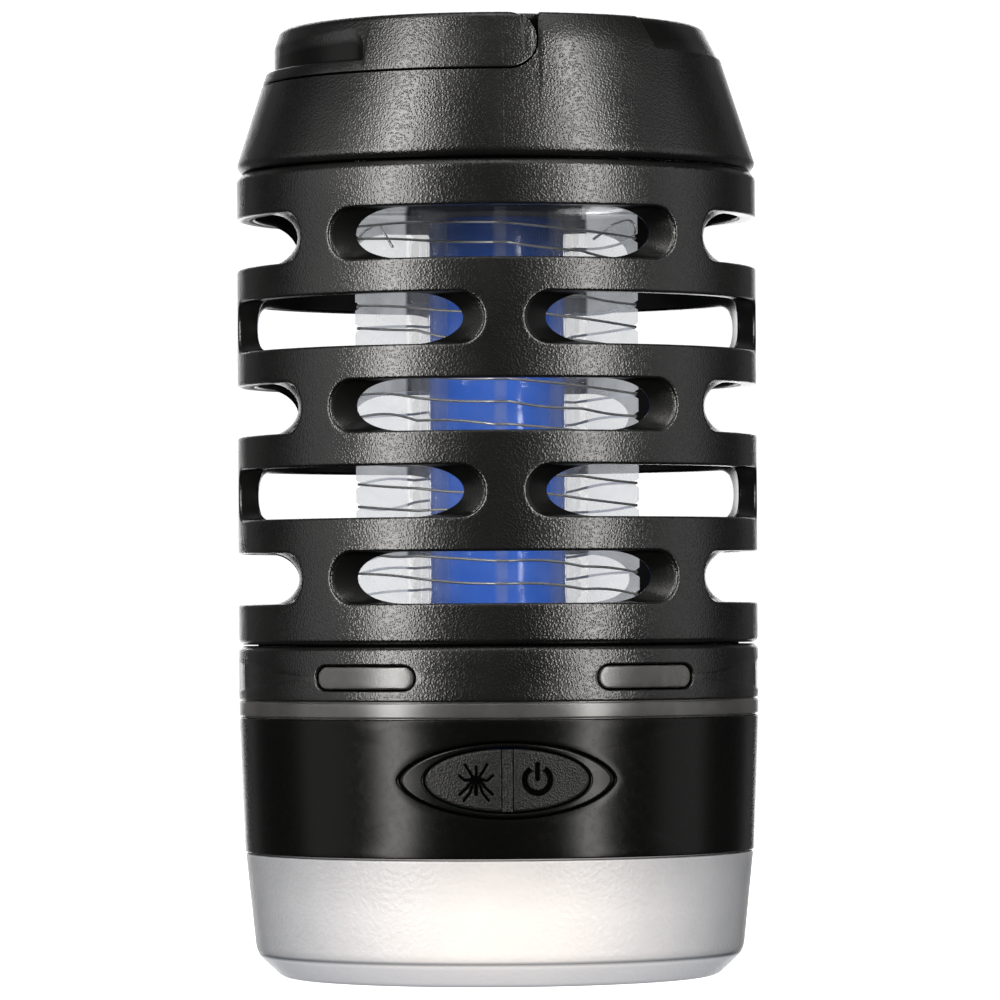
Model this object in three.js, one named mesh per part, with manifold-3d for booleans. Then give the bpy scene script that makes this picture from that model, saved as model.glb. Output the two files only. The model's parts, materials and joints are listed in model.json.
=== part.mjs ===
// Rechargeable camping bug zapper: a slotted guard round a clear cage wound with two grid wires,
// standing on a battery base whose underside is a frosted lamp. Millimetres, +Z up.
// The origin is the centre of the flat underside, and -Y is the front, where the buttons are.

import * as THREE from 'three';
import { mergeVertices } from 'three/addons/utils/BufferGeometryUtils.js';
import Module from 'manifold-3d';

const wasm = await Module();
wasm.setup();

// ---------- Driving dimensions ----------

// The tower, from the floor up.
const BODY_RADIUS = 44;
const LAMP_HEIGHT = 21.1;
const HOUSING_HEIGHT = 23;
const RING_HEIGHT = 2.7;
const COLLAR_HEIGHT = 9.3;
const GUARD_HEIGHT = 79.7;
const LID_HEIGHT = 24.4;

// Clearances.
const SEAM_GAP = 0.3;
const FIT_GAP = 0.3;
const BUTTON_GAP = 0.25;
const PIN_GAP = 0.08;

// Lamp cover, and the diodes above it.
const LAMP_STEP = 0.15;
const LAMP_DRAFT = 1;
const LAMP_CHAMFER_WIDTH = 4.4;
const LAMP_CHAMFER_HEIGHT = 4.1;
const LAMP_WALL = 2;
const LAMP_SPIGOT_HEIGHT = 3;
const LAMP_LED_COUNT = 6;
const LAMP_LED_CIRCLE = 22;
const LED_SIZE = 3.5;
const LED_HEIGHT = 0.9;

// Base housing and its boards.
const HOUSING_DRAFT = 0.85;
const HOUSING_WALL = 2.4;
const BOARD_THICKNESS = 1.6;
const BOARD_MARGIN = 2.5;
const MAIN_BOARD_RISE = 3.3;
const POST_RADIUS = 2.6;
const POST_MARGIN = 1.85;
const BASE_SCREW_AZIMUTHS = [35, 145, 215, 325];

// Button panel: an almond bezel holding an oval pad that is split into two buttons.
const PANEL_RISE = 13;
const PANEL_PROUD = 0.1;
const PANEL_HALF_WIDTH = 17.9;
const PANEL_HALF_HEIGHT = 6.1;
const PAD_HALF_WIDTH = 13.6;
const PAD_HALF_HEIGHT = 5.15;
const WEB_WIDTH = 1.9;
const WEB_RECESS = 0.3;
const BUTTON_TRAVEL = 0.7;
const BUTTON_THICKNESS = 2.6;
const BUTTON_STEM_RADIUS = 1.8;
const BUTTON_STEM_LENGTH = 2.4;
const BUTTON_STEM_X = 6.6;
const SWITCH_SIZE = 6;
const SWITCH_BODY = 2;
const SWITCH_PLAY = 0.2;
const PLUNGER_RADIUS = 1.2;
const PLUNGER_LENGTH = 0.8;
const SWITCH_BOARD_HALF_WIDTH = 13;
const SWITCH_BOARD_HALF_HEIGHT = 5;

// Charging port at the back.
const PORT_RISE = 11.9;
const PORT_HALF_WIDTH = 4.9;
const PORT_HALF_HEIGHT = 2;
const FLAP_HALF_WIDTH = 8;
const FLAP_HALF_HEIGHT = 5;
const FLAP_CORNER = 2;
const FLAP_THICKNESS = 1.3;
const FLAP_PLUG_DEPTH = 1;
const SOCKET_RECESS = 1.1;
const SOCKET_DEPTH = 7;
const SOCKET_WALL = 0.4;

// Battery cell, lying across the base in its holder.
const CELL_RADIUS = 9.2;
const CELL_LENGTH = 65;
const CELL_NUB_RADIUS = 3;
const CELL_NUB_LENGTH = 1.2;
const CELL_Y = -8;
const HOLDER_LIFT = 0.6;
const HOLDER_FLOOR = 0.4;
const HOLDER_WALL = 1.5;
const CONTACT_ROOM = 1.5;
const CONTACT_THICKNESS = 0.4;
const CONTACT_HALF_WIDTH = 4;

// Parts on the main board: a centre, a size along X and Y, and a height.
const TRANSFORMER = { x: -18, y: 16, width: 16, depth: 14, height: 11, lip: 1.5 };
const GRID_CAPACITOR = { x: 0, y: 13, width: 12, depth: 6, height: 10, corner: 2 };
const FILTER_CAPACITOR = { x: 16, y: 14, radius: 4, height: 11 };

// Collar, its deck and its light windows.
const COLLAR_WALL = 3;
const DECK_THICKNESS = 2;
const DECK_DROP = 1.2;
const SPIGOT_RISE = 2.4;
const SPIGOT_WALL = 1.5;
const WINDOW_AZIMUTH = 32.5;
const WINDOW_HALF_ANGLE = 12.3;
const WINDOW_HALF_HEIGHT = 1.85;
const WINDOW_RISE = 4;
const LENS_RECESS = 0.4;
const RING_WIDTH = 5;

// Guard.
const GUARD_WALL = 3;
const GROOVE_DEPTH = 0.8;
const GROOVE_REACH = 1.2;
const SEAM_GROOVE_DEPTH = 0.6;
const SEAM_GROOVE_REACH = 0.8;
const SLOT_ROWS = 5;
const SLOTS_PER_ROW = 4;
const BOTTOM_BAND = 11.15;
const TOP_BAND = 12;
const SLOT_HALF_HEIGHT = 4.25;
const SLOT_HALF_ANGLE = 40.55;
const SLOT_END_ANGLE = 5.5;
const SLOT_INNER_HALF_ANGLE = 35.65;
const SLOT_INNER_END_ANGLE = 12.5;
const FLANGE_THICKNESS = 2.4;
const LID_SCREW_INSET = 8;
const LID_SCREW_AZIMUTHS = [45, 135, 225, 315];

// Clear cage round the ultraviolet core.
const FINS = 8;
const FIN_RADIUS = 24;
const SMALL_FIN_RADIUS = 20;
const FIN_THICKNESS = 1.9;
const NOTCH_DEPTH = 1.1;
const NOTCH_HEIGHT = 1.6;
const CAGE_HEADROOM = 6.9;
const CAGE_PASS_GAP = 4;
const SLEEVE_WALL = 1.2;
const SLEEVE_GAP = 0.4;
const CAGE_FLANGE_REACH = 1.5;
const CAGE_FLANGE_THICKNESS = 2;
const CORE_RADIUS = 11.5;
const CORE_WALL = 1.6;
const CORE_DROP = 0.6;
const CAP_THICKNESS = 2;
const TAIL_HOLE_RADIUS = 0.7;
const TAIL_HOLE_INSET = 4.5;
const TAIL_HOLE_DROP = 1.9;
const UV_BOARD_WIDTH = 12;
const UV_BOARD_FOOT = 4;
const UV_BOARD_DROP = 6;
const UV_LED_COUNT = 4;

// Grid wires: two left-handed helices, half a lead apart.
const WIRE_RADIUS = 0.25;
const WIRE_LEAD = 7.57;
const WIRE_DROP = 4;
const WIRE_END_MARGIN = 6;
const WIRE_SEAT = 0.65;
const WIRE_CORNER_GAP = 0.35;
const WIRE_HOLE_RADIUS = 1;
const WIRE_HOLE_INSET = 0.4;

// Lid and carrying handle.
const LID_SLOPE_WIDTH = 7.5;
const LID_WALL = 2.6;
const LID_TOP_THICKNESS = 2.6;
const LID_EDGE = 0.6;
const LID_BOSS_RADIUS = 3;
const LID_BOSS_HEIGHT = 14;
const HANDLE_HEIGHT = 9.4;
const HANDLE_TOP_WIDTH = 2.7;
const HANDLE_PIVOT_X = 1;
const HANDLE_SIDE_GAP = 0.5;
const SCOOP_DEPTH = 7.4;
const SCOOP_WALL_OFFSET = 0.1;
const SCOOP_WALL_SHIFT = 0.9;
const SCOOP_HALF_ANGLE = 54;
const POCKET_DEPTH = 0.9;
const POCKET_LENGTH = 5.5;
const POCKET_HALF_ANGLE = 52;
const PIN_RADIUS = 1.5;
const PIN_REACH = 2.8;
const PIN_ROOT = 4.8;

// Screws.
const SCREW_HEAD_RADIUS = 2.4;
const SCREW_HEAD_HEIGHT = 1.6;
const SCREW_SHANK_RADIUS = 1.1;
const SCREW_POINT = 1;
const SCREW_LENGTH = 10;

// Fineness of the round surfaces.
const BODY_SEGMENTS = 40;
const TURNED_SEGMENTS = 24;
const SMALL_SEGMENTS = 12;
const SCREW_SEGMENTS = 8;
const CORNER_STEPS = 4;
const WIRE_ARC_STEPS = 2;

// ---------- Sizes worked out from the ones above ----------

const LAMP_TOP = LAMP_HEIGHT;
const HOUSING_TOP = LAMP_TOP + HOUSING_HEIGHT;
const RING_TOP = HOUSING_TOP + RING_HEIGHT;
const COLLAR_TOP = RING_TOP + COLLAR_HEIGHT;
const GUARD_TOP = COLLAR_TOP + GUARD_HEIGHT;
const BODY_HEIGHT = GUARD_TOP + LID_HEIGHT;

const HOUSING_FOOT_RADIUS = BODY_RADIUS - HOUSING_DRAFT;
const HOUSING_INNER_RADIUS = HOUSING_FOOT_RADIUS - HOUSING_WALL;
const LAMP_TOP_RADIUS = HOUSING_FOOT_RADIUS - LAMP_STEP;
const LAMP_CHAMFER_RADIUS = LAMP_TOP_RADIUS - LAMP_DRAFT;
const LAMP_FOOT_RADIUS = LAMP_CHAMFER_RADIUS - LAMP_CHAMFER_WIDTH;
const LAMP_SPIGOT_RADIUS = HOUSING_INNER_RADIUS - FIT_GAP;
const LAMP_SPIGOT_TOP = LAMP_TOP + LAMP_SPIGOT_HEIGHT;
const LAMP_BOARD_BOTTOM = LAMP_TOP + FIT_GAP;
const LAMP_BOARD_TOP = LAMP_BOARD_BOTTOM + BOARD_THICKNESS;
const LAMP_BOARD_RADIUS = LAMP_SPIGOT_RADIUS - LAMP_WALL - FIT_GAP;
const BASE_SCREW_CIRCLE = LAMP_BOARD_RADIUS - POST_RADIUS - POST_MARGIN;

const PANEL_HEIGHT = LAMP_TOP + PANEL_RISE;
const PANEL_RADIUS = housingRadius(PANEL_HEIGHT) + PANEL_PROUD;
const STEM_ROOT = PANEL_RADIUS - BUTTON_THICKNESS;
const STEM_TIP = STEM_ROOT - BUTTON_STEM_LENGTH;
const PLUNGER_TIP = STEM_TIP - BUTTON_TRAVEL - SWITCH_PLAY;
const SWITCH_FACE = PLUNGER_TIP - PLUNGER_LENGTH;
const SWITCH_BACK = SWITCH_FACE - SWITCH_BODY;

const PORT_HEIGHT = LAMP_TOP + PORT_RISE;
const FLAP_RADIUS = housingRadius(PORT_HEIGHT);
const FLAP_SEAT = FLAP_RADIUS - FLAP_THICKNESS;
const SOCKET_FACE = FLAP_SEAT - FLAP_PLUG_DEPTH - SOCKET_RECESS;

const HOLDER_BOTTOM = LAMP_SPIGOT_TOP + HOLDER_LIFT;
const CELL_Z = HOLDER_BOTTOM + HOLDER_FLOOR + FIT_GAP + CELL_RADIUS;
const HOLDER_HALF_DEPTH = CELL_RADIUS + FIT_GAP + HOLDER_WALL;
const MAIN_BOARD_RADIUS = HOUSING_INNER_RADIUS - BOARD_MARGIN;
const MAIN_BOARD_BOTTOM = LAMP_SPIGOT_TOP + MAIN_BOARD_RISE;
const MAIN_BOARD_TOP = MAIN_BOARD_BOTTOM + BOARD_THICKNESS;
const MAIN_BOARD_FRONT = CELL_Y + HOLDER_HALF_DEPTH + FIT_GAP;
const PART_STANDOFF = MAIN_BOARD_TOP + FIT_GAP;

const COLLAR_INNER_RADIUS = BODY_RADIUS - COLLAR_WALL;
const DECK_TOP = COLLAR_TOP - DECK_DROP;
const DECK_BOTTOM = DECK_TOP - DECK_THICKNESS;
const WINDOW_HEIGHT = RING_TOP + WINDOW_RISE;

const GUARD_INNER_RADIUS = BODY_RADIUS - GUARD_WALL;
const FIRST_ROW_HEIGHT = COLLAR_TOP + BOTTOM_BAND;
const ROW_PITCH = (GUARD_HEIGHT - BOTTOM_BAND - TOP_BAND) / (SLOT_ROWS - 1);
const FLANGE_INNER_RADIUS = FIN_RADIUS + CAGE_PASS_GAP;
const LID_SCREW_CIRCLE = GUARD_INNER_RADIUS - LID_SCREW_INSET;

const CAGE_BOTTOM = DECK_TOP + FIT_GAP;
const CAGE_TOP = GUARD_TOP - CAGE_HEADROOM;
const CORE_TOP = CAGE_TOP - CORE_DROP;
const SLEEVE_INNER_RADIUS = CORE_RADIUS + SLEEVE_GAP;
const SLEEVE_RADIUS = SLEEVE_INNER_RADIUS + SLEEVE_WALL;
const CAGE_FLANGE_RADIUS = SMALL_FIN_RADIUS + CAGE_FLANGE_REACH;
const UV_BOARD_BOTTOM = CAGE_BOTTOM + UV_BOARD_FOOT;
const UV_BOARD_TOP = CORE_TOP - UV_BOARD_DROP;

const WIRE_TOP = CAGE_TOP - WIRE_DROP;
const WIRE_SPACING = WIRE_LEAD / 2;
const WIRE_HALF_TURNS = Math.floor((WIRE_TOP - CAGE_BOTTOM - WIRE_END_MARGIN) / WIRE_SPACING);
const WIRE_CORNER = FIN_THICKNESS / 2 + WIRE_CORNER_GAP;

const SCREW_HOLE_RADIUS = SCREW_SHANK_RADIUS + FIT_GAP;
const SCREW_PILOT_RADIUS = SCREW_SHANK_RADIUS + PIN_GAP;

const LID_RIM_HEIGHT = GUARD_TOP + GROOVE_REACH + SEAM_GAP;
const LID_TOP_RADIUS = BODY_RADIUS - LID_SLOPE_WIDTH;
const HANDLE_INNER_RADIUS = LID_TOP_RADIUS - HANDLE_TOP_WIDTH;
const HANDLE_SEAT_RADIUS = HANDLE_INNER_RADIUS - HANDLE_SIDE_GAP;
const HANDLE_BOTTOM = BODY_HEIGHT - HANDLE_HEIGHT;
const HANDLE_PIVOT_Z = BODY_HEIGHT - HANDLE_HEIGHT / 2;
const SCOOP_FLOOR = BODY_HEIGHT - SCOOP_DEPTH;
const SCOOP_WALL_RADIUS = LID_TOP_RADIUS + SCOOP_WALL_OFFSET;
const POCKET_FLOOR = BODY_HEIGHT - POCKET_LENGTH;
const PIN_OUTER_END = HANDLE_INNER_RADIUS + PIN_REACH;
const PIN_INNER_END = HANDLE_INNER_RADIUS - PIN_ROOT;

// Far enough to pass right through whatever is cut.
const THROUGH = BODY_RADIUS + 20;
const PAST = 1;

/** Outer radius of the base housing at a height. */
function housingRadius(height) {
  return BODY_RADIUS - HOUSING_DRAFT * (HOUSING_TOP - height) / HOUSING_HEIGHT;
}

/** Outer radius of the lid's cone at a height. */
function coneRadius(height) {
  const share = (height - LID_RIM_HEIGHT) / (BODY_HEIGHT - LID_RIM_HEIGHT);
  return BODY_RADIUS - share * LID_SLOPE_WIDTH;
}

// ---------- Shape helpers ----------

const radians = THREE.MathUtils.degToRad;

/** Turns a closed geometry into a solid that can be cut and joined. */
function solidOf(geometry) {
  const bare = geometry.clone();
  bare.deleteAttribute('normal');
  bare.deleteAttribute('uv');
  const merged = mergeVertices(bare);
  const indices = Array.from(merged.index.array);
  const corners = [];
  for (let i = 0; i < indices.length; i += 3) {
    const [a, b, c] = indices.slice(i, i + 3);
    if (a !== b && b !== c && c !== a) {
      corners.push(a, b, c);
    }
  }
  const mesh = new wasm.Mesh({
    numProp: 3,
    vertProperties: new Float32Array(merged.attributes.position.array),
    triVerts: new Uint32Array(corners),
  });
  return new wasm.Manifold(mesh);
}

/** Turns a solid back into a geometry for a mesh. */
function geometryOf(solid) {
  const { vertProperties, triVerts } = solid.getMesh();
  const geometry = new THREE.BufferGeometry();
  geometry.setAttribute('position', new THREE.BufferAttribute(new Float32Array(vertProperties), 3));
  geometry.setIndex(new THREE.BufferAttribute(new Uint32Array(triVerts), 1));
  geometry.computeVertexNormals();
  return geometry;
}

/** A profile of [radius, height] corners, anticlockwise with the axis on the left, turned about Z. */
function turned(profile, segments = BODY_SEGMENTS) {
  const points = profile.map(([radius, height]) => new THREE.Vector2(radius, height));
  const onAxis = profile[0][0] === 0;
  if (!onAxis) {
    points.push(points[0].clone());
  }
  return solidOf(new THREE.LatheGeometry(points, segments).rotateX(Math.PI / 2));
}

/** A round bar of the given radius along Z, standing on `bottom`. */
function bar(radius, bottom, top, segments = SMALL_SEGMENTS) {
  const geometry = new THREE.CylinderGeometry(radius, radius, top - bottom, segments);
  return solidOf(geometry.rotateX(Math.PI / 2).translate(0, 0, (bottom + top) / 2));
}

/** A round bar along Y. */
function barAlongY(radius, x, z, near, far, segments = SMALL_SEGMENTS) {
  const geometry = new THREE.CylinderGeometry(radius, radius, far - near, segments);
  return solidOf(geometry.translate(x, (near + far) / 2, z));
}

/** A rectangular block between two opposite corners. */
function block(low, high) {
  const size = high.map((value, axis) => value - low[axis]);
  const centre = high.map((value, axis) => (value + low[axis]) / 2);
  return solidOf(new THREE.BoxGeometry(...size).translate(...centre));
}

/** A shape drawn in the XZ plane, carried along Y from `near` to `far`. */
function carriedAlongY(shape, near, far, curveSegments = SMALL_SEGMENTS) {
  const options = { depth: far - near, bevelEnabled: false, curveSegments };
  return solidOf(new THREE.ExtrudeGeometry(shape, options).rotateX(Math.PI / 2).translate(0, far, 0));
}

/** A shape drawn in the XY plane, carried up from `bottom` to `top`. */
function carriedUp(shape, bottom, top, curveSegments = SMALL_SEGMENTS) {
  const options = { depth: top - bottom, bevelEnabled: false, curveSegments };
  return solidOf(new THREE.ExtrudeGeometry(shape, options).translate(0, 0, bottom));
}

/** A ring with a square section. */
function ring(inner, outer, bottom, top, segments = BODY_SEGMENTS) {
  return turned([[inner, bottom], [outer, bottom], [outer, top], [inner, top]], segments);
}

/** The same solid taken away at each of several spots. */
function cutAt(solid, cutter, spots) {
  return spots.reduce((left, [x, y]) => left.subtract(cutter.translate([x, y, 0])), solid);
}

/** The same solid joined on at each of several spots. */
function joinAt(solid, addition, spots) {
  return spots.reduce((whole, [x, y]) => whole.add(addition.translate([x, y, 0])), solid);
}

/** The horizontal direction at an azimuth counted from the front (-Y) towards +X. */
function outwardAt(azimuth) {
  return [Math.sin(radians(azimuth)), -Math.cos(radians(azimuth))];
}

/** A piece drawn at the front, turned about Z to another azimuth. */
function turnedTo(solid, azimuth) {
  return solid.rotate([0, 0, azimuth]);
}

// ---------- Materials ----------

const texturedBlack = { color: 0x1b1b1c, roughness: 0.55, metalness: 0 };
const satinBlack = { color: 0x101011, roughness: 0.25, metalness: 0 };
const frosted = { color: 0xd9d7d3, roughness: 0.5, metalness: 0 };
const smokedClear = { color: 0x6e6c68, roughness: 0.35, metalness: 0 };
const clear = { color: 0xe4e7ea, roughness: 0.08, metalness: 0 };
const coreBlue = { color: 0x1f55c8, roughness: 0.15, metalness: 0 };
const blackRubber = { color: 0x232325, roughness: 0.8, metalness: 0 };
const circuitBoard = { color: 0x1d5a34, roughness: 0.45, metalness: 0 };
const whiteBoard = { color: 0xe9e9e6, roughness: 0.4, metalness: 0 };
const steel = { color: 0xb9bbbd, roughness: 0.3, metalness: 1 };
const ledYellow = { color: 0xe8d27a, roughness: 0.3, metalness: 0 };
const cellWrap = { color: 0x2d6fb0, roughness: 0.35, metalness: 0 };
const ferrite = { color: 0x2b2b2e, roughness: 0.7, metalness: 0 };
const capacitorRed = { color: 0x8a3320, roughness: 0.35, metalness: 0 };
const switchBlack = { color: 0x151516, roughness: 0.45, metalness: 0 };

/** A named mesh for one sub-part. */
function part(name, solid, surface) {
  const mesh = new THREE.Mesh(geometryOf(solid), new THREE.MeshStandardMaterial(surface));
  mesh.name = name;
  return mesh;
}

// ---------- Lamp in the base ----------

function lampCover() {
  const spigotInner = LAMP_SPIGOT_RADIUS - LAMP_WALL;
  const seam = LAMP_TOP - SEAM_GAP / 2;
  return turned([
    [0, 0],
    [LAMP_FOOT_RADIUS, 0],
    [LAMP_CHAMFER_RADIUS, LAMP_CHAMFER_HEIGHT],
    [LAMP_TOP_RADIUS, seam],
    [LAMP_SPIGOT_RADIUS, seam],
    [LAMP_SPIGOT_RADIUS, LAMP_SPIGOT_TOP],
    [spigotInner, LAMP_SPIGOT_TOP],
    [spigotInner, seam - LAMP_WALL],
    [LAMP_CHAMFER_RADIUS - LAMP_WALL, LAMP_CHAMFER_HEIGHT + LAMP_WALL / 2],
    [LAMP_FOOT_RADIUS - LAMP_WALL / 2, LAMP_WALL],
    [0, LAMP_WALL],
  ]);
}

const BASE_SCREW_SPOTS = BASE_SCREW_AZIMUTHS.map((azimuth) => (
  outwardAt(azimuth).map((value) => value * BASE_SCREW_CIRCLE)
));

/** Round board that carries the lamp's diodes on its underside. */
function lampBoard() {
  const disc = bar(LAMP_BOARD_RADIUS, LAMP_BOARD_BOTTOM, LAMP_BOARD_TOP, BODY_SEGMENTS);
  const hole = bar(SCREW_HOLE_RADIUS, LAMP_BOARD_BOTTOM - PAST, LAMP_BOARD_TOP + PAST, SCREW_SEGMENTS);
  return cutAt(disc, hole, BASE_SCREW_SPOTS);
}

function lampLeds() {
  return Array.from({ length: LAMP_LED_COUNT }, (unused, index) => {
    const half = LED_SIZE / 2;
    const led = part(`lamp_led_${index + 1}`, block([-half, -half, 0], [half, half, LED_HEIGHT]), ledYellow);
    const azimuth = (360 / LAMP_LED_COUNT) * index;
    const [x, y] = outwardAt(azimuth);
    led.position.set(x * LAMP_LED_CIRCLE, y * LAMP_LED_CIRCLE, LAMP_BOARD_BOTTOM - FIT_GAP - LED_HEIGHT);
    led.rotation.z = radians(azimuth);
    return led;
  });
}

// ---------- Button panel ----------

/** Almond outline made of two arcs that meet in points at the sides. */
function almond(halfWidth, halfHeight) {
  const radius = (halfWidth ** 2 + halfHeight ** 2) / (2 * halfHeight);
  const drop = radius - halfHeight;
  const sweep = Math.asin(halfWidth / radius);
  const shape = new THREE.Shape();
  shape.absarc(0, PANEL_HEIGHT - drop, radius, Math.PI / 2 - sweep, Math.PI / 2 + sweep, false);
  shape.absarc(0, PANEL_HEIGHT + drop, radius, 1.5 * Math.PI - sweep, 1.5 * Math.PI + sweep, false);
  return shape;
}

/** Oval outline of the pad. */
function oval(halfWidth, halfHeight) {
  const shape = new THREE.Shape();
  shape.absellipse(0, PANEL_HEIGHT, halfWidth, halfHeight, 0, 2 * Math.PI, false, 0);
  return shape;
}

/** The stretch of wall at the front that the panel's pieces are cut from. */
function frontWall(outer, thickness) {
  const margin = 2;
  const bottom = PANEL_HEIGHT - PANEL_HALF_HEIGHT - margin;
  const top = PANEL_HEIGHT + PANEL_HALF_HEIGHT + margin;
  const wall = ring(outer - thickness, outer, bottom, top);
  return wall.intersect(block([-THROUGH, -THROUGH, bottom], [THROUGH, 0, top]));
}

function buttonBezel() {
  const outline = carriedAlongY(almond(PANEL_HALF_WIDTH, PANEL_HALF_HEIGHT), -THROUGH, 0);
  const opening = carriedAlongY(oval(PAD_HALF_WIDTH + BUTTON_GAP, PAD_HALF_HEIGHT + BUTTON_GAP), -THROUGH, 0);
  return frontWall(PANEL_RADIUS, HOUSING_WALL).intersect(outline).subtract(opening);
}

/** One half of the oval pad, with the stem that presses its switch. side is -1 or +1. */
function button(side) {
  const near = WEB_WIDTH / 2;
  const low = Math.min(side * near, side * THROUGH);
  const high = Math.max(side * near, side * THROUGH);
  const half = block([low, -THROUGH, 0], [high, 0, BODY_HEIGHT]);
  const outline = carriedAlongY(oval(PAD_HALF_WIDTH, PAD_HALF_HEIGHT), -THROUGH, 0);
  const face = frontWall(PANEL_RADIUS, BUTTON_THICKNESS).intersect(outline).intersect(half);
  const stem = barAlongY(BUTTON_STEM_RADIUS, side * BUTTON_STEM_X, PANEL_HEIGHT, -STEM_ROOT, -STEM_TIP);
  return face.add(stem);
}

/** The strip of the pad between the two buttons. */
function buttonWeb() {
  const half = WEB_WIDTH / 2 - BUTTON_GAP;
  const outline = carriedAlongY(oval(PAD_HALF_WIDTH, PAD_HALF_HEIGHT), -THROUGH, 0);
  const strip = block([-half, -THROUGH, 0], [half, 0, BODY_HEIGHT]);
  return frontWall(PANEL_RADIUS - WEB_RECESS, BUTTON_THICKNESS).intersect(outline).intersect(strip);
}

/** Push switch behind a button. */
function pushSwitch(side) {
  const half = SWITCH_SIZE / 2;
  const x = side * BUTTON_STEM_X;
  const body = block(
    [x - half, -SWITCH_FACE, PANEL_HEIGHT - half],
    [x + half, -SWITCH_BACK, PANEL_HEIGHT + half]);
  return body.add(barAlongY(PLUNGER_RADIUS, x, PANEL_HEIGHT, -PLUNGER_TIP, -SWITCH_FACE + SWITCH_BODY / 2));
}

/** Small upright board that carries the two switches. */
function switchBoard() {
  const front = FIT_GAP - SWITCH_BACK;
  return block(
    [-SWITCH_BOARD_HALF_WIDTH, front, PANEL_HEIGHT - SWITCH_BOARD_HALF_HEIGHT],
    [SWITCH_BOARD_HALF_WIDTH, front + BOARD_THICKNESS, PANEL_HEIGHT + SWITCH_BOARD_HALF_HEIGHT],
  );
}

// ---------- Charging port ----------

/** Rectangle with round ends in the XZ plane, centred on the port. */
function stadium(halfWidth, halfHeight, radius) {
  const shape = new THREE.Shape();
  const left = -halfWidth + radius;
  const right = halfWidth - radius;
  const low = PORT_HEIGHT - halfHeight + radius;
  const high = PORT_HEIGHT + halfHeight - radius;
  shape.absarc(right, low, radius, -Math.PI / 2, 0, false);
  shape.absarc(right, high, radius, 0, Math.PI / 2, false);
  shape.absarc(left, high, radius, Math.PI / 2, Math.PI, false);
  shape.absarc(left, low, radius, Math.PI, 1.5 * Math.PI, false);
  return shape;
}

/** A stadium-shaped plug, hole or skin carried along Y through the back of the base. */
function portPrism(halfWidth, halfHeight, radius, near, far) {
  return carriedAlongY(stadium(halfWidth, halfHeight, radius), near, far, CORNER_STEPS);
}

/** Rubber flap that covers the port, with the plug on its inner face. */
function portFlap() {
  const outline = portPrism(FLAP_HALF_WIDTH, FLAP_HALF_HEIGHT, FLAP_CORNER, 0, THROUGH);
  const bottom = PORT_HEIGHT - FLAP_HALF_HEIGHT - PAST;
  const top = PORT_HEIGHT + FLAP_HALF_HEIGHT + PAST;
  const skin = ring(FLAP_SEAT, FLAP_RADIUS, bottom, top).intersect(outline);
  const plugHeight = PORT_HALF_HEIGHT - FIT_GAP;
  const plugTip = FLAP_SEAT - FLAP_PLUG_DEPTH;
  const plugRoot = FLAP_SEAT + FLAP_THICKNESS / 2;
  const plug = portPrism(PORT_HALF_WIDTH - FIT_GAP, plugHeight, plugHeight, plugTip, plugRoot);
  return skin.add(plug);
}

/** Metal shell of the charging socket, open to the back. */
function portSocket() {
  const outer = PORT_HALF_HEIGHT - FIT_GAP;
  const inner = outer - SOCKET_WALL;
  const halfWidth = PORT_HALF_WIDTH - FIT_GAP;
  const rear = SOCKET_FACE - SOCKET_DEPTH;
  const shell = portPrism(halfWidth, outer, outer, rear, SOCKET_FACE);
  return shell.subtract(portPrism(halfWidth - SOCKET_WALL, inner, inner, rear + PAST, THROUGH));
}

// ---------- Base housing and electronics ----------

function baseHousing() {
  const foot = LAMP_TOP + SEAM_GAP / 2;
  const top = HOUSING_TOP - SEAM_GAP / 2;
  const shell = turned([
    [HOUSING_INNER_RADIUS, foot],
    [HOUSING_FOOT_RADIUS, foot],
    [BODY_RADIUS, top],
    [BODY_RADIUS - HOUSING_WALL, top],
  ]);
  const panel = carriedAlongY(
    almond(PANEL_HALF_WIDTH + BUTTON_GAP, PANEL_HALF_HEIGHT + BUTTON_GAP), -THROUGH, 0);
  const port = portPrism(PORT_HALF_WIDTH, PORT_HALF_HEIGHT, PORT_HALF_HEIGHT, 0, THROUGH);
  const seat = portPrism(FLAP_HALF_WIDTH + FIT_GAP, FLAP_HALF_HEIGHT + FIT_GAP, FLAP_CORNER, 0, THROUGH);
  const flapRoom = ring(FLAP_SEAT - FIT_GAP, THROUGH, foot, top).intersect(seat);
  return shell.subtract(panel).subtract(port).subtract(flapRoom);
}

/** Half-round board at the back of the base. */
function mainBoard() {
  const disc = bar(MAIN_BOARD_RADIUS, MAIN_BOARD_BOTTOM, MAIN_BOARD_TOP, BODY_SEGMENTS);
  const half = disc.intersect(block([-THROUGH, MAIN_BOARD_FRONT, 0], [THROUGH, THROUGH, BODY_HEIGHT]));
  const hole = bar(POST_RADIUS + FIT_GAP, MAIN_BOARD_BOTTOM - PAST, MAIN_BOARD_TOP + PAST);
  return cutAt(half, hole, BASE_SCREW_SPOTS);
}

/** Step-up transformer: a ferrite frame with its winding bulging out between the cheeks. */
function transformer() {
  const { x, y, width, depth, height, lip } = TRANSFORMER;
  const [halfWidth, halfDepth] = [width / 2, depth / 2];
  const cheeks = block(
    [x - halfWidth, y - halfDepth, PART_STANDOFF],
    [x + halfWidth, y + halfDepth, PART_STANDOFF + height]);
  const winding = block(
    [x - halfWidth + 2 * lip, y - halfDepth - lip, PART_STANDOFF + lip],
    [x + halfWidth - 2 * lip, y + halfDepth + lip, PART_STANDOFF + height - lip]);
  return cheeks.add(winding);
}

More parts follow.
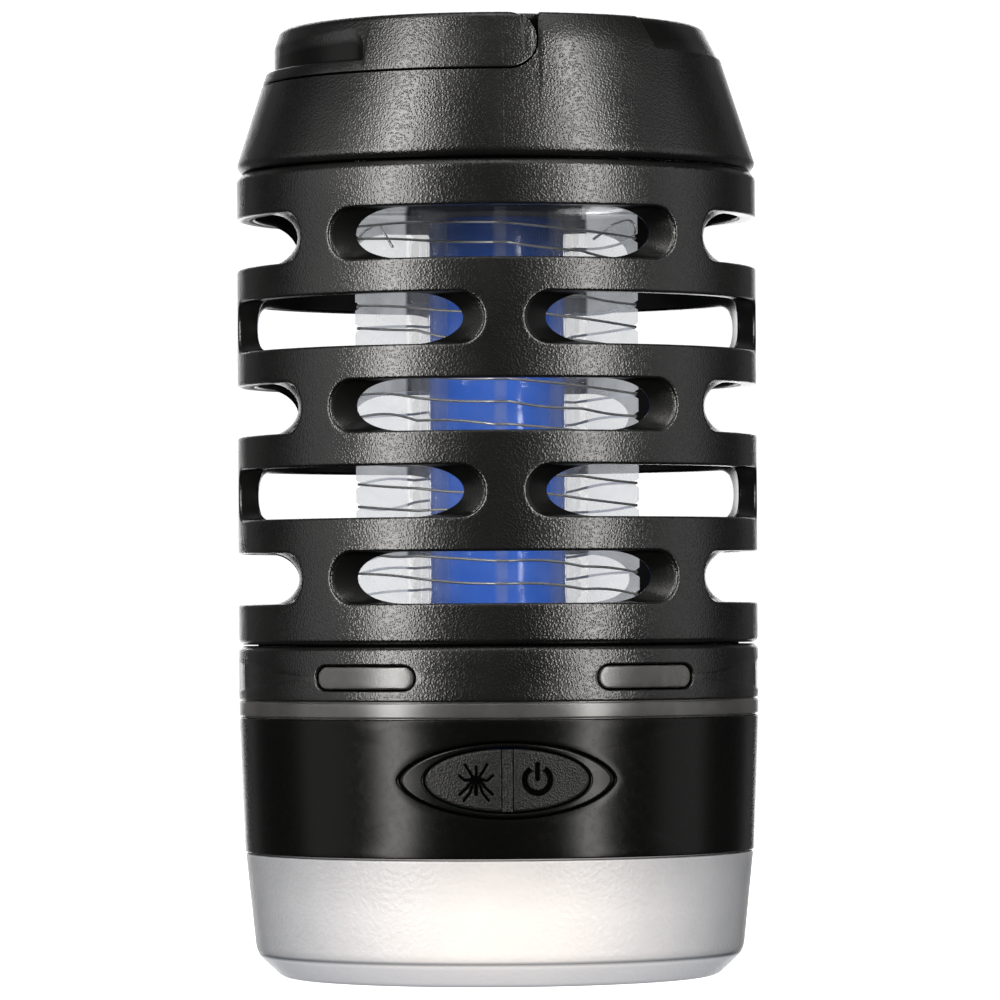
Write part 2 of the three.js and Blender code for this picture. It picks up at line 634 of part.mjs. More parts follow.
/** Film capacitor that stores the grid's charge. */
function gridCapacitor() {
  const { x, y, width, depth, height, corner } = GRID_CAPACITOR;
  const [left, right, top] = [x - width / 2, x + width / 2, PART_STANDOFF + height];
  const shape = new THREE.Shape();
  shape.moveTo(left, PART_STANDOFF);
  shape.lineTo(right, PART_STANDOFF);
  shape.absarc(right - corner, top - corner, corner, 0, Math.PI / 2, false);
  shape.absarc(left + corner, top - corner, corner, Math.PI / 2, Math.PI, false);
  return carriedAlongY(shape, y - depth / 2, y + depth / 2, CORNER_STEPS);
}

function filterCapacitor() {
  const { x, y, radius, height } = FILTER_CAPACITOR;
  return bar(radius, PART_STANDOFF, PART_STANDOFF + height).translate([x, y, 0]);
}

function batteryCell() {
  const half = CELL_LENGTH / 2;
  const shoulder = half - CELL_NUB_LENGTH;
  const upright = turned([
    [0, -half],
    [CELL_RADIUS, -half],
    [CELL_RADIUS, shoulder],
    [CELL_NUB_RADIUS, shoulder],
    [CELL_NUB_RADIUS, half],
    [0, half],
  ], TURNED_SEGMENTS);
  return upright.rotate([0, 90, 0]).translate([0, CELL_Y, CELL_Z]);
}

/** Open tray that the cell lies in, with an end wall behind each contact. */
function batteryHolder() {
  const half = CELL_LENGTH / 2 + CONTACT_ROOM;
  const tray = block(
    [-half - HOLDER_WALL, CELL_Y - HOLDER_HALF_DEPTH, HOLDER_BOTTOM],
    [half + HOLDER_WALL, CELL_Y + HOLDER_HALF_DEPTH, CELL_Z]);
  const room = bar(CELL_RADIUS + FIT_GAP, -half, half, TURNED_SEGMENTS);
  return tray.subtract(room.rotate([0, 90, 0]).translate([0, CELL_Y, CELL_Z]));
}

/** Contact plate at one end of the cell. side is -1 or +1. */
function batteryContact(side) {
  const near = CELL_LENGTH / 2 + FIT_GAP;
  const low = Math.min(side * near, side * (near + CONTACT_THICKNESS));
  return block(
    [low, CELL_Y - CONTACT_HALF_WIDTH, CELL_Z - CONTACT_HALF_WIDTH],
    [low + CONTACT_THICKNESS, CELL_Y + CONTACT_HALF_WIDTH, CELL_Z + CONTACT_HALF_WIDTH],
  );
}

// ---------- Ring, collar and windows ----------

/** Smoke-grey ring squeezed between the housing and the collar. */
function sealRing() {
  const bottom = HOUSING_TOP + SEAM_GAP / 2;
  return ring(BODY_RADIUS - RING_WIDTH, BODY_RADIUS, bottom, RING_TOP - SEAM_GAP / 2);
}

/**
 * A stadium wrapped round the Z axis at the front, from one radius to another. Its ends are ellipses,
 * and its half-angle and the angle taken by each end change evenly from the inner to the outer radius.
 */
function wrappedStadium({ inner, outer, height, halfHeight, innerAngles, outerAngles }) {
  const endCells = 2;
  const middleCells = 4;
  const cells = 2 * endCells + middleCells;
  const geometry = new THREE.BoxGeometry(cells, 2, 1, cells, 2, 1);
  const position = geometry.attributes.position;
  for (let i = 0; i < position.count; i += 1) {
    const along = Math.abs(position.getX(i));
    const middle = Math.min(along, middleCells / 2) / (middleCells / 2);
    const end = Math.max(along - middleCells / 2, 0) / endCells;
    const across = position.getY(i);
    const reach = end * Math.sqrt(1 - across ** 2 / 2);
    const rise = across * Math.sqrt(1 - end ** 2 / 2);
    const depth = position.getZ(i) + 0.5;
    const halfAngle = THREE.MathUtils.lerp(innerAngles.half, outerAngles.half, depth);
    const endAngle = THREE.MathUtils.lerp(innerAngles.end, outerAngles.end, depth);
    const azimuth = Math.sign(position.getX(i)) * (middle * (halfAngle - endAngle) + reach * endAngle);
    const [x, y] = outwardAt(azimuth);
    const radius = THREE.MathUtils.lerp(inner, outer, depth);
    position.setXYZ(i, x * radius, y * radius, height + rise * halfHeight);
  }
  return solidOf(geometry);
}

/** One light window's outline as a wrapped stadium, wider by `gap` all round. */
function lightWindow(inner, outer, gap) {
  const gapAngle = THREE.MathUtils.radToDeg(gap / BODY_RADIUS);
  const endAngle = THREE.MathUtils.radToDeg((WINDOW_HALF_HEIGHT + gap) / BODY_RADIUS);
  const angles = { half: WINDOW_HALF_ANGLE + gapAngle, end: endAngle };
  const halfHeight = WINDOW_HALF_HEIGHT + gap;
  return wrappedStadium({
    inner, outer, height: WINDOW_HEIGHT, halfHeight, innerAngles: angles, outerAngles: angles,
  });
}

const WINDOW_SITES = {
  front_left: -WINDOW_AZIMUTH,
  front_right: WINDOW_AZIMUTH,
  rear_right: 180 - WINDOW_AZIMUTH,
  rear_left: WINDOW_AZIMUTH - 180,
};

/** Collar with the deck that the cage stands on, and the spigot that the guard slips over. */
function baseCollar() {
  const bottom = RING_TOP + SEAM_GAP / 2;
  const spigot = GUARD_INNER_RADIUS - FIT_GAP;
  const spigotTop = COLLAR_TOP + SPIGOT_RISE;
  const coreHole = CORE_RADIUS - CORE_WALL;
  let collar = turned([
    [COLLAR_INNER_RADIUS, bottom],
    [BODY_RADIUS, bottom],
    [BODY_RADIUS, COLLAR_TOP - SEAM_GROOVE_REACH],
    [BODY_RADIUS - SEAM_GROOVE_DEPTH, COLLAR_TOP - SEAM_GAP / 2],
    [spigot, COLLAR_TOP - SEAM_GAP / 2],
    [spigot, spigotTop],
    [spigot - SPIGOT_WALL, spigotTop],
    [spigot - SPIGOT_WALL, DECK_TOP],
    [coreHole, DECK_TOP],
    [coreHole, DECK_BOTTOM],
    [COLLAR_INNER_RADIUS, DECK_BOTTOM],
  ]);
  const opening = lightWindow(COLLAR_INNER_RADIUS - PAST, BODY_RADIUS + PAST, FIT_GAP);
  for (const azimuth of Object.values(WINDOW_SITES)) {
    collar = collar.subtract(turnedTo(opening, azimuth));
  }
  const wireHole = bar(WIRE_HOLE_RADIUS, DECK_BOTTOM - PAST, DECK_TOP + PAST, SCREW_SEGMENTS);
  const wireHoleReach = FIN_RADIUS - WIRE_HOLE_INSET;
  collar = cutAt(collar, wireHole, [[-wireHoleReach, 0], [wireHoleReach, 0]]);
  const postBottom = LAMP_BOARD_TOP + FIT_GAP;
  const post = bar(POST_RADIUS, postBottom, DECK_BOTTOM + DECK_THICKNESS / 2);
  const pilot = bar(SCREW_PILOT_RADIUS, postBottom - PAST, postBottom + SCREW_LENGTH, SCREW_SEGMENTS);
  return cutAt(joinAt(collar, post, BASE_SCREW_SPOTS), pilot, BASE_SCREW_SPOTS);
}

/** The four grey lenses, each filling one window. */
function windowLenses() {
  return Object.entries(WINDOW_SITES).map(([site, azimuth]) => {
    const lens = lightWindow(COLLAR_INNER_RADIUS, BODY_RADIUS - LENS_RECESS, 0);
    const mesh = part(`window_lens_${site}`, lens, smokedClear);
    mesh.rotation.z = radians(azimuth);
    return mesh;
  });
}

/** Pan-head screw standing on its head, shank up. */
function screw() {
  return turned([
    [0, 0],
    [SCREW_HEAD_RADIUS - SCREW_HEAD_HEIGHT / 2, 0],
    [SCREW_HEAD_RADIUS, SCREW_HEAD_HEIGHT / 2],
    [SCREW_HEAD_RADIUS, SCREW_HEAD_HEIGHT],
    [SCREW_SHANK_RADIUS, SCREW_HEAD_HEIGHT],
    [SCREW_SHANK_RADIUS, SCREW_LENGTH - SCREW_POINT],
    [0, SCREW_LENGTH],
  ], SCREW_SEGMENTS);
}

/** Screws named and placed head down at each spot, with their heads' underside at `seat`. */
function screws(name, spots, seat) {
  return spots.map(([x, y], index) => {
    const mesh = part(`${name}_${index + 1}`, screw(), steel);
    mesh.position.set(x, y, seat - SCREW_HEAD_HEIGHT - FIT_GAP);
    return mesh;
  });
}

// ---------- Guard ----------

/** Row heights and the azimuth of each row's first slot: every other row is turned by half a slot. */
const ROWS = Array.from({ length: SLOT_ROWS }, (unused, row) => ({
  height: FIRST_ROW_HEIGHT + row * ROW_PITCH,
  azimuth: (row % 2) * (180 / SLOTS_PER_ROW),
}));

const LID_SCREW_SPOTS = LID_SCREW_AZIMUTHS.map((azimuth) => (
  outwardAt(azimuth).map((value) => value * LID_SCREW_CIRCLE)
));

function guard() {
  const bottom = COLLAR_TOP + SEAM_GAP / 2;
  const top = GUARD_TOP - SEAM_GAP / 2;
  let shell = turned([
    [GUARD_INNER_RADIUS, bottom],
    [BODY_RADIUS - SEAM_GROOVE_DEPTH, bottom],
    [BODY_RADIUS, COLLAR_TOP + SEAM_GROOVE_REACH],
    [BODY_RADIUS, GUARD_TOP - GROOVE_REACH],
    [BODY_RADIUS - GROOVE_DEPTH, top],
    [FLANGE_INNER_RADIUS, top],
    [FLANGE_INNER_RADIUS, top - FLANGE_THICKNESS],
    [GUARD_INNER_RADIUS, top - FLANGE_THICKNESS],
  ]);
  const cutter = {
    inner: GUARD_INNER_RADIUS - PAST,
    outer: BODY_RADIUS + PAST,
    halfHeight: SLOT_HALF_HEIGHT,
    innerAngles: { half: SLOT_INNER_HALF_ANGLE, end: SLOT_INNER_END_ANGLE },
    outerAngles: { half: SLOT_HALF_ANGLE, end: SLOT_END_ANGLE },
  };
  for (const { height, azimuth } of ROWS) {
    const slot = wrappedStadium({ ...cutter, height });
    for (let index = 0; index < SLOTS_PER_ROW; index += 1) {
      shell = shell.subtract(turnedTo(slot, azimuth + (360 / SLOTS_PER_ROW) * index));
    }
  }
  const hole = bar(SCREW_HOLE_RADIUS, top - FLANGE_THICKNESS - PAST, top + PAST, SCREW_SEGMENTS);
  return cutAt(shell, hole, LID_SCREW_SPOTS);
}

// ---------- Cage, core and grid wires ----------

/** Height of a wire after turning so far from its top end. Going left to right past the front lowers it. */
function wireHeightAt(turn) {
  return WIRE_TOP - (turn / 360) * WIRE_LEAD;
}

/** Notch heights on the fin at an azimuth counted on from the left side. */
function notchHeights(azimuthFromLeft) {
  const lowest = CAGE_BOTTOM + WIRE_END_MARGIN;
  const highest = CAGE_TOP - NOTCH_HEIGHT;
  const first = WIRE_TOP - (azimuthFromLeft / 360) * WIRE_LEAD + 2 * WIRE_SPACING;
  const heights = [];
  for (let height = first; height > lowest; height -= WIRE_SPACING) {
    if (height < highest) {
      heights.push(height);
    }
  }
  return heights;
}

/** Radial fin with a V-notch in its edge for every wire. Drawn reaching out along +X. */
function fin(reach, azimuthFromLeft) {
  const shape = new THREE.Shape();
  const root = SLEEVE_RADIUS - SLEEVE_WALL / 2;
  const bottom = CAGE_BOTTOM + CAGE_FLANGE_THICKNESS / 2;
  shape.moveTo(root, bottom);
  shape.lineTo(reach, bottom);
  for (const height of notchHeights(azimuthFromLeft).reverse()) {
    shape.lineTo(reach, height - NOTCH_HEIGHT / 2);
    shape.lineTo(reach - NOTCH_DEPTH, height);
    shape.lineTo(reach, height + NOTCH_HEIGHT / 2);
  }
  shape.lineTo(reach, CAGE_TOP);
  shape.lineTo(root, CAGE_TOP);
  shape.closePath();
  const solid = carriedAlongY(shape, -FIN_THICKNESS / 2, FIN_THICKNESS / 2);
  return solid.rotate([0, 0, 180 + azimuthFromLeft]);
}

function cageFrame() {
  let cage = turned([
    [SLEEVE_INNER_RADIUS, CAGE_BOTTOM],
    [CAGE_FLANGE_RADIUS, CAGE_BOTTOM],
    [CAGE_FLANGE_RADIUS, CAGE_BOTTOM + CAGE_FLANGE_THICKNESS],
    [SLEEVE_RADIUS, CAGE_BOTTOM + CAGE_FLANGE_THICKNESS],
    [SLEEVE_RADIUS, CAGE_TOP],
    [SLEEVE_INNER_RADIUS, CAGE_TOP],
  ], TURNED_SEGMENTS);
  for (let index = 0; index < FINS; index += 1) {
    const reach = index % 2 === 0 ? FIN_RADIUS : SMALL_FIN_RADIUS;
    cage = cage.add(fin(reach, (360 / FINS) * index));
  }
  for (const side of [-1, 1]) {
    const x = side * (FIN_RADIUS - TAIL_HOLE_INSET);
    const z = CAGE_TOP - TAIL_HOLE_DROP;
    cage = cage.subtract(barAlongY(TAIL_HOLE_RADIUS, x, z, -FIN_THICKNESS, FIN_THICKNESS, SCREW_SEGMENTS));
  }
  return cage;
}

/** Round plate that closes the top of the cage. */
function cageCap() {
  const bottom = CAGE_TOP + FIT_GAP;
  return bar(FIN_RADIUS, bottom, bottom + CAP_THICKNESS, TURNED_SEGMENTS);
}

/** Blue tube, closed at the top, that shows the ultraviolet light. */
function uvCore() {
  const inner = CORE_RADIUS - CORE_WALL;
  const bottom = DECK_TOP + FIT_GAP;
  return turned([
    [0, CORE_TOP - CORE_WALL],
    [inner, CORE_TOP - CORE_WALL],
    [inner, bottom],
    [CORE_RADIUS, bottom],
    [CORE_RADIUS, CORE_TOP],
    [0, CORE_TOP],
  ], TURNED_SEGMENTS);
}

/**
 * The path of one grid wire: round the eight fins and down, lying in their notches. It crosses each
 * main fin square on, so it has a corner on both sides of it, and it only bends slightly over a small fin.
 */
class GridWirePath extends THREE.Curve {
  constructor(strand) {
    super();
    this.corners = [];
    for (let stop = 0; stop <= WIRE_HALF_TURNS * FINS / 2; stop += 1) {
      const turn = (360 / FINS) * stop;
      const main = stop % 2 === 0;
      const radius = (main ? FIN_RADIUS : SMALL_FIN_RADIUS) - NOTCH_DEPTH + WIRE_SEAT;
      const [x, y] = outwardAt(turn + strand * 180 - 90);
      for (const step of main ? [-WIRE_CORNER, WIRE_CORNER] : [0]) {
        const corner = [x * radius - y * step, y * radius + x * step, wireHeightAt(turn)];
        this.corners.push(new THREE.Vector3(...corner));
      }
    }
  }

  getPoint(share, target = new THREE.Vector3()) {
    const last = this.corners.length - 1;
    const place = Math.min(share * last, last - 1e-9);
    const index = Math.floor(place);
    return target.lerpVectors(this.corners[index], this.corners[index + 1], place - index);
  }

  getPointAt(share, target) {
    return this.getPoint(share, target);
  }
}

function gridWire(strand) {
  const path = new GridWirePath(strand);
  const section = new THREE.Shape();
  section.absarc(0, 0, WIRE_RADIUS, 0, 2 * Math.PI, false);
  const options = {
    steps: path.corners.length - 1, extrudePath: path, bevelEnabled: false, curveSegments: WIRE_ARC_STEPS,
  };
  return solidOf(new THREE.ExtrudeGeometry(section, options));
}

function uvBoard() {
  const half = BOARD_THICKNESS / 2;
  return block([-UV_BOARD_WIDTH / 2, -half, UV_BOARD_BOTTOM], [UV_BOARD_WIDTH / 2, half, UV_BOARD_TOP]);
}

function uvLeds() {
  const pitch = (UV_BOARD_TOP - UV_BOARD_BOTTOM) / UV_LED_COUNT;
  return Array.from({ length: UV_LED_COUNT }, (unused, index) => {
    const half = LED_SIZE / 2;
    const led = part(`uv_led_${index + 1}`, block([-half, -LED_HEIGHT, -half], [half, 0, half]), ledYellow);
    led.position.set(0, -BOARD_THICKNESS / 2 - FIT_GAP, UV_BOARD_BOTTOM + pitch * (index + 0.5));
    return led;
  });
}

// ---------- Lid and handle ----------

/** The lid's and the handle's common outer corners at the top. */
const TOP_CORNERS = [
  [LID_TOP_RADIUS + LID_EDGE * LID_SLOPE_WIDTH / (BODY_HEIGHT - LID_RIM_HEIGHT), BODY_HEIGHT - LID_EDGE],
  [LID_TOP_RADIUS - LID_EDGE, BODY_HEIGHT],
];

/** Outline in the XZ plane of the band that the handle is cut from, larger by `gap` round its ends. */
function handleBand(gap, top) {
  const radius = HANDLE_HEIGHT / 2 + gap;
  const shape = new THREE.Shape();
  shape.moveTo(-THROUGH, HANDLE_PIVOT_Z - radius);
  shape.lineTo(HANDLE_PIVOT_X, HANDLE_PIVOT_Z - radius);
  if (top > BODY_HEIGHT) {
    shape.absarc(HANDLE_PIVOT_X, HANDLE_PIVOT_Z, radius, -Math.PI / 2, 0, false);
    shape.lineTo(HANDLE_PIVOT_X + radius, top);
  } else {
    shape.absarc(HANDLE_PIVOT_X, HANDLE_PIVOT_Z, radius, -Math.PI / 2, Math.PI / 2, false);
  }
  shape.lineTo(-THROUGH, top);
  shape.closePath();
  return shape;
}

/** Sector of the plan between two azimuths, reaching far out. */
function sector(from, to) {
  const shape = new THREE.Shape();
  const far = 2 * THROUGH;
  const [x, y] = outwardAt(from);
  shape.moveTo(0, 0);
  shape.lineTo(x * far, y * far);
  shape.absarc(0, 0, far, radians(from - 90), radians(to - 90), false);
  shape.closePath();
  return shape;
}

/** The finger scoop in the handle's left side. */
function scoop() {
  const far = BODY_HEIGHT + PAST;
  const wall = bar(SCOOP_WALL_RADIUS, SCOOP_FLOOR - PAST, far + PAST, BODY_SEGMENTS);
  const wedge = carriedUp(sector(-90 - SCOOP_HALF_ANGLE, -90 + SCOOP_HALF_ANGLE), SCOOP_FLOOR, far);
  return wedge.subtract(wall.translate([-SCOOP_WALL_SHIFT, 0, 0]));
}

/** The shallow flat on the lid's right side, deepening towards the top. */
function pocket() {
  const far = BODY_HEIGHT + PAST;
  const slope = POCKET_DEPTH / POCKET_LENGTH;
  const cut = turned([
    [coneRadius(POCKET_FLOOR), POCKET_FLOOR],
    [THROUGH, POCKET_FLOOR],
    [THROUGH, far],
    [coneRadius(far) - slope * (far - POCKET_FLOOR), far],
  ]);
  const plan = sector(90 - POCKET_HALF_ANGLE, 90 + POCKET_HALF_ANGLE);
  return cut.intersect(carriedUp(plan, POCKET_FLOOR - PAST, far + PAST));
}

function lid() {
  const bottom = GUARD_TOP + SEAM_GAP / 2;
  const ceiling = BODY_HEIGHT - LID_TOP_THICKNESS;
  const cavityRadius = HANDLE_SEAT_RADIUS - LID_WALL;
  const rimInner = GUARD_INNER_RADIUS - PAST;
  const shoulder = HANDLE_BOTTOM - SEAM_GAP - LID_WALL;
  let shell = turned([
    [0, ceiling],
    [cavityRadius, ceiling],
    [cavityRadius, shoulder],
    [coneRadius(shoulder) - 2 * LID_WALL, shoulder],
    [rimInner, LID_RIM_HEIGHT],
    [rimInner, bottom],
    [BODY_RADIUS - GROOVE_DEPTH, bottom],
    [BODY_RADIUS, LID_RIM_HEIGHT],
    ...TOP_CORNERS,
    [0, BODY_HEIGHT],
  ]);
  const band = carriedAlongY(handleBand(SEAM_GAP, BODY_HEIGHT + HANDLE_HEIGHT), -THROUGH, THROUGH);
  const keep = bar(HANDLE_SEAT_RADIUS, 0, BODY_HEIGHT + 2 * HANDLE_HEIGHT, BODY_SEGMENTS);
  shell = shell.subtract(band.subtract(keep)).subtract(pocket());
  shell = joinAt(shell, bar(LID_BOSS_RADIUS, bottom, bottom + LID_BOSS_HEIGHT), LID_SCREW_SPOTS);
  const pilot = bar(SCREW_PILOT_RADIUS, bottom - PAST, bottom + SCREW_LENGTH, SCREW_SEGMENTS);
  shell = cutAt(shell, pilot, LID_SCREW_SPOTS);
  return shell.subtract(barAlongY(PIN_RADIUS + PIN_GAP, HANDLE_PIVOT_X, HANDLE_PIVOT_Z, -THROUGH, THROUGH));
}

function handle() {
  const blank = turned([
    [HANDLE_INNER_RADIUS, HANDLE_BOTTOM],
    [coneRadius(HANDLE_BOTTOM), HANDLE_BOTTOM],
    ...TOP_CORNERS,
    [HANDLE_INNER_RADIUS, BODY_HEIGHT],
  ]);
  const band = carriedAlongY(handleBand(0, BODY_HEIGHT), -THROUGH, THROUGH);
  const reach = PIN_OUTER_END + PIN_GAP;
  const pivotHoles = barAlongY(PIN_RADIUS + PIN_GAP, HANDLE_PIVOT_X, HANDLE_PIVOT_Z, -reach, reach);
  return blank.intersect(band).subtract(scoop()).subtract(pivotHoles);
}

/** Steel pin that the handle turns on. side is -1 at the front and +1 at the back. */
function pivotPin(side) {
  const near = Math.min(side * PIN_INNER_END, side * PIN_OUTER_END);
  return barAlongY(PIN_RADIUS, HANDLE_PIVOT_X, HANDLE_PIVOT_Z, near, near + PIN_OUTER_END - PIN_INNER_END);
}

// ---------- Assembly ----------

const base = new THREE.Group();
base.add(
  part('lamp_cover', lampCover(), frosted),
  part('lamp_board', lampBoard(), whiteBoard),
  ...lampLeds(),
  part('base_housing', baseHousing(), satinBlack),
  part('button_bezel', buttonBezel(), satinBlack),
  part('button_web', buttonWeb(), blackRubber),
  part('zap_switch', pushSwitch(-1), switchBlack),
  part('light_switch', pushSwitch(1), switchBlack),
  part('switch_board', switchBoard(), circuitBoard),
  part('charging_socket', portSocket(), steel),
  part('main_board', mainBoard(), circuitBoard),
  part('step_up_transformer', transformer(), ferrite),
  part('grid_capacitor', gridCapacitor(), capacitorRed),
  part('filter_capacitor', filterCapacitor(), switchBlack),
  part('battery_cell', batteryCell(), cellWrap),
  part('battery_holder', batteryHolder(), switchBlack),
  part('battery_contact_left', batteryContact(-1), steel),
  part('battery_contact_right', batteryContact(1), steel),
  part('seal_ring', sealRing(), smokedClear),
  part('base_collar', baseCollar(), texturedBlack),
  ...windowLenses(),
  ...screws('base_screw', BASE_SCREW_SPOTS, LAMP_BOARD_BOTTOM),
);

const cage = new THREE.Group();
cage.add(
  part('cage_frame', cageFrame(), clear),
  part('cage_cap', cageCap(), clear),
  part('uv_core', uvCore(), coreBlue),
  part('uv_board', uvBoard(), whiteBoard),
  ...uvLeds(),
  part('grid_wire_a', gridWire(0), steel),
  part('grid_wire_b', gridWire(1), steel),
);

const top = new THREE.Group();
top.add(
  part('guard', guard(), texturedBlack),
  part('lid', lid(), texturedBlack),
  ...screws('lid_screw', LID_SCREW_SPOTS, GUARD_TOP - SEAM_GAP / 2 - FLANGE_THICKNESS),
  part('handle_pin_front', pivotPin(-1), steel),
  part('handle_pin_rear', pivotPin(1), steel),
);

const handleGroup = new THREE.Group();
handleGroup.add(part('carry_handle', handle(), texturedBlack));
top.add(handleGroup);

const zapper = new THREE.Group();
zapper.add(
  base,
  cage,
  top,
  part('zap_button', button(-1), blackRubber),
  part('light_button', button(1), blackRubber),
  part('port_flap', portFlap(), blackRubber),
);

export default zapper;
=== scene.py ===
# %% [markdown]
# # Camping bug zapper
# A tower 160 mm tall: a frosted lamp at the foot, a satin base with two rubber buttons, a slotted
# guard round a clear cage wound with two wires, and a lid with a folding carry handle. The packed
# CAD model gives every place and size. The shapes that the eye sees are made again here, finer.

# %% Load the frame
import json
import math

import bmesh
import bpy
import numpy as np
from mathutils import Matrix, Vector

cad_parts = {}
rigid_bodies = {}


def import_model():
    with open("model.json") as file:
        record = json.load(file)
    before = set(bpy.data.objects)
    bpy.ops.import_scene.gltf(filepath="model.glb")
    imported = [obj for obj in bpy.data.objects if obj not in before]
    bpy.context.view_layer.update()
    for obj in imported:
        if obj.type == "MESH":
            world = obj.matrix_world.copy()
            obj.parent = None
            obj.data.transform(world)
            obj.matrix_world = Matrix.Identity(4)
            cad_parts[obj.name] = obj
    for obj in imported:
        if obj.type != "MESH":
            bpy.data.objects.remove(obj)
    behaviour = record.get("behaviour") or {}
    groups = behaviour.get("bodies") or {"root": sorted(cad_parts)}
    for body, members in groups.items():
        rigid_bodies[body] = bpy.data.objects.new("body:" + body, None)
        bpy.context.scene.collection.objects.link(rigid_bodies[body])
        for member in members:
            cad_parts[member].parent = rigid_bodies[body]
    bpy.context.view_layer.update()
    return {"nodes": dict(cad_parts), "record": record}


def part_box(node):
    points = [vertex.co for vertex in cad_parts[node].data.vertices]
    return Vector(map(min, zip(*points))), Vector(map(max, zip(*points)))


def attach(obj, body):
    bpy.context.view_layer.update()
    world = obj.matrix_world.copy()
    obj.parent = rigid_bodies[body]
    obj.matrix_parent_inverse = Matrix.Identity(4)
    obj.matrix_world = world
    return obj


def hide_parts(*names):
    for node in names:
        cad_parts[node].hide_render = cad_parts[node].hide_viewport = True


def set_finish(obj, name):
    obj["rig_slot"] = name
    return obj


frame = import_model()

# %% [markdown]
# ## Sizes
# Lengths below are millimetres, and one factor turns them to Blender's metres. Heights and radii
# come from the frame's boxes, so the fine pieces follow the CAD. Azimuths are degrees counted from
# the front (-Y) towards +X, which is how someone walking round the object would count them.

# %% Driving sizes
MM = 0.001


def box_mm(node):
    """Lowest and highest corner of a CAD node in millimetres."""
    low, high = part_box(node)
    return np.array(low) / MM, np.array(high) / MM


LAMP_HIGH = box_mm("lamp_cover")[1]
HOUSING_LOW, HOUSING_HIGH = box_mm("base_housing")
RING_LOW, RING_HIGH = box_mm("seal_ring")
COLLAR_HIGH = box_mm("base_collar")[1]
GUARD_LOW, GUARD_HIGH = box_mm("guard")
LID_LOW, LID_HIGH = box_mm("lid")
HANDLE_LOW, HANDLE_HIGH = box_mm("carry_handle")
CAGE_LOW, CAGE_HIGH = box_mm("cage_frame")
PANEL_LOW, PANEL_HIGH = box_mm("button_bezel")

BODY_RADIUS = GUARD_HIGH[0]
SEAM = RING_LOW[2] - HOUSING_HIGH[2]
TOP = LID_HIGH[2]
print(f"radius {BODY_RADIUS:.2f} mm, height {TOP:.2f} mm, seams {SEAM:.2f} mm")

# %% [markdown]
# ## Surfaces from grids
# Every new piece is a set of grids of points worked out as whole arrays. A grid becomes quads, the
# grids of one piece are welded where they meet, and the result is a closed skin. Modelling by hand
# or with booleans would also work, but a grid keeps the mesh even, so that highlights run smoothly
# over it.

# %% Grid helpers
WELD = 2e-6  # metres


def grid_faces(rows, columns, wrap):
    """Quads between neighbouring points of a grid. wrap joins the last column to the first."""
    across = columns if wrap else columns - 1
    row, column = np.meshgrid(np.arange(rows - 1), np.arange(across), indexing="ij")
    after = (column + 1) % columns
    lower, upper = row * columns, (row + 1) * columns
    corners = [lower + column, lower + after, upper + after, upper + column]
    return np.stack(corners, axis=-1).reshape(-1, 4)


def mesh_from(name, points, quads):
    """A mesh from an (n, 3) array of points in metres and an (m, 4) array of quads."""
    mesh = bpy.data.meshes.new(name)
    mesh.vertices.add(len(points))
    mesh.vertices.foreach_set("co", points.astype(np.float32).ravel())
    mesh.loops.add(quads.size)
    mesh.loops.foreach_set("vertex_index", quads.astype(np.int32).ravel())
    mesh.polygons.add(len(quads))
    mesh.polygons.foreach_set("loop_start", np.arange(0, quads.size, 4, dtype=np.int32))
    mesh.update(calc_edges=True)
    return mesh


def piece(name, grids, body, slot, replaces=(), sharp=38):
    """Welds grids of points in millimetres, each (rows, columns, 3) with a wrap flag, into a closed piece.

    Edges that bend by more than `sharp` degrees are shaded as sharp.
    """
    points, quads, start = [], [], 0
    for grid, wrap in grids:
        rows, columns = grid.shape[:2]
        points.append(grid.reshape(-1, 3) * MM)
        quads.append(grid_faces(rows, columns, wrap) + start)
        start += rows * columns
    mesh = mesh_from(name, np.concatenate(points), np.concatenate(quads))
    skin = bmesh.new()
    skin.from_mesh(mesh)
    bmesh.ops.remove_doubles(skin, verts=skin.verts, dist=WELD)
    bmesh.ops.dissolve_degenerate(skin, dist=WELD, edges=skin.edges)
    bmesh.ops.recalc_face_normals(skin, faces=skin.faces)
    loose = sum(len(edge.link_faces) != 2 for edge in skin.edges)
    skin.to_mesh(mesh)
    skin.free()
    mesh.polygons.foreach_set("use_smooth", np.ones(len(mesh.polygons), dtype=bool))
    mesh.set_sharp_from_angle(angle=math.radians(sharp))
    thing = bpy.data.objects.new(name, mesh)
    bpy.context.scene.collection.objects.link(thing)
    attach(thing, body)
    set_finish(thing, slot)
    if replaces:
        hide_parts(*replaces)
    print(f"{name}: {len(mesh.polygons)} faces, {loose} open edges")
    return thing


# %% [markdown]
# ## Profiles and turning
# Moulded and turned parts are seldom sharp: each corner of a profile gets a small curve, drawn as a
# quadratic Bezier between two points on its sides. Those curves carry the thin bright lines that
# make an edge read as real.

# %% Profile helpers
TURN_STEPS = 192
SHORT_SIDE_SHARE = 0.45
TINY = 1e-9


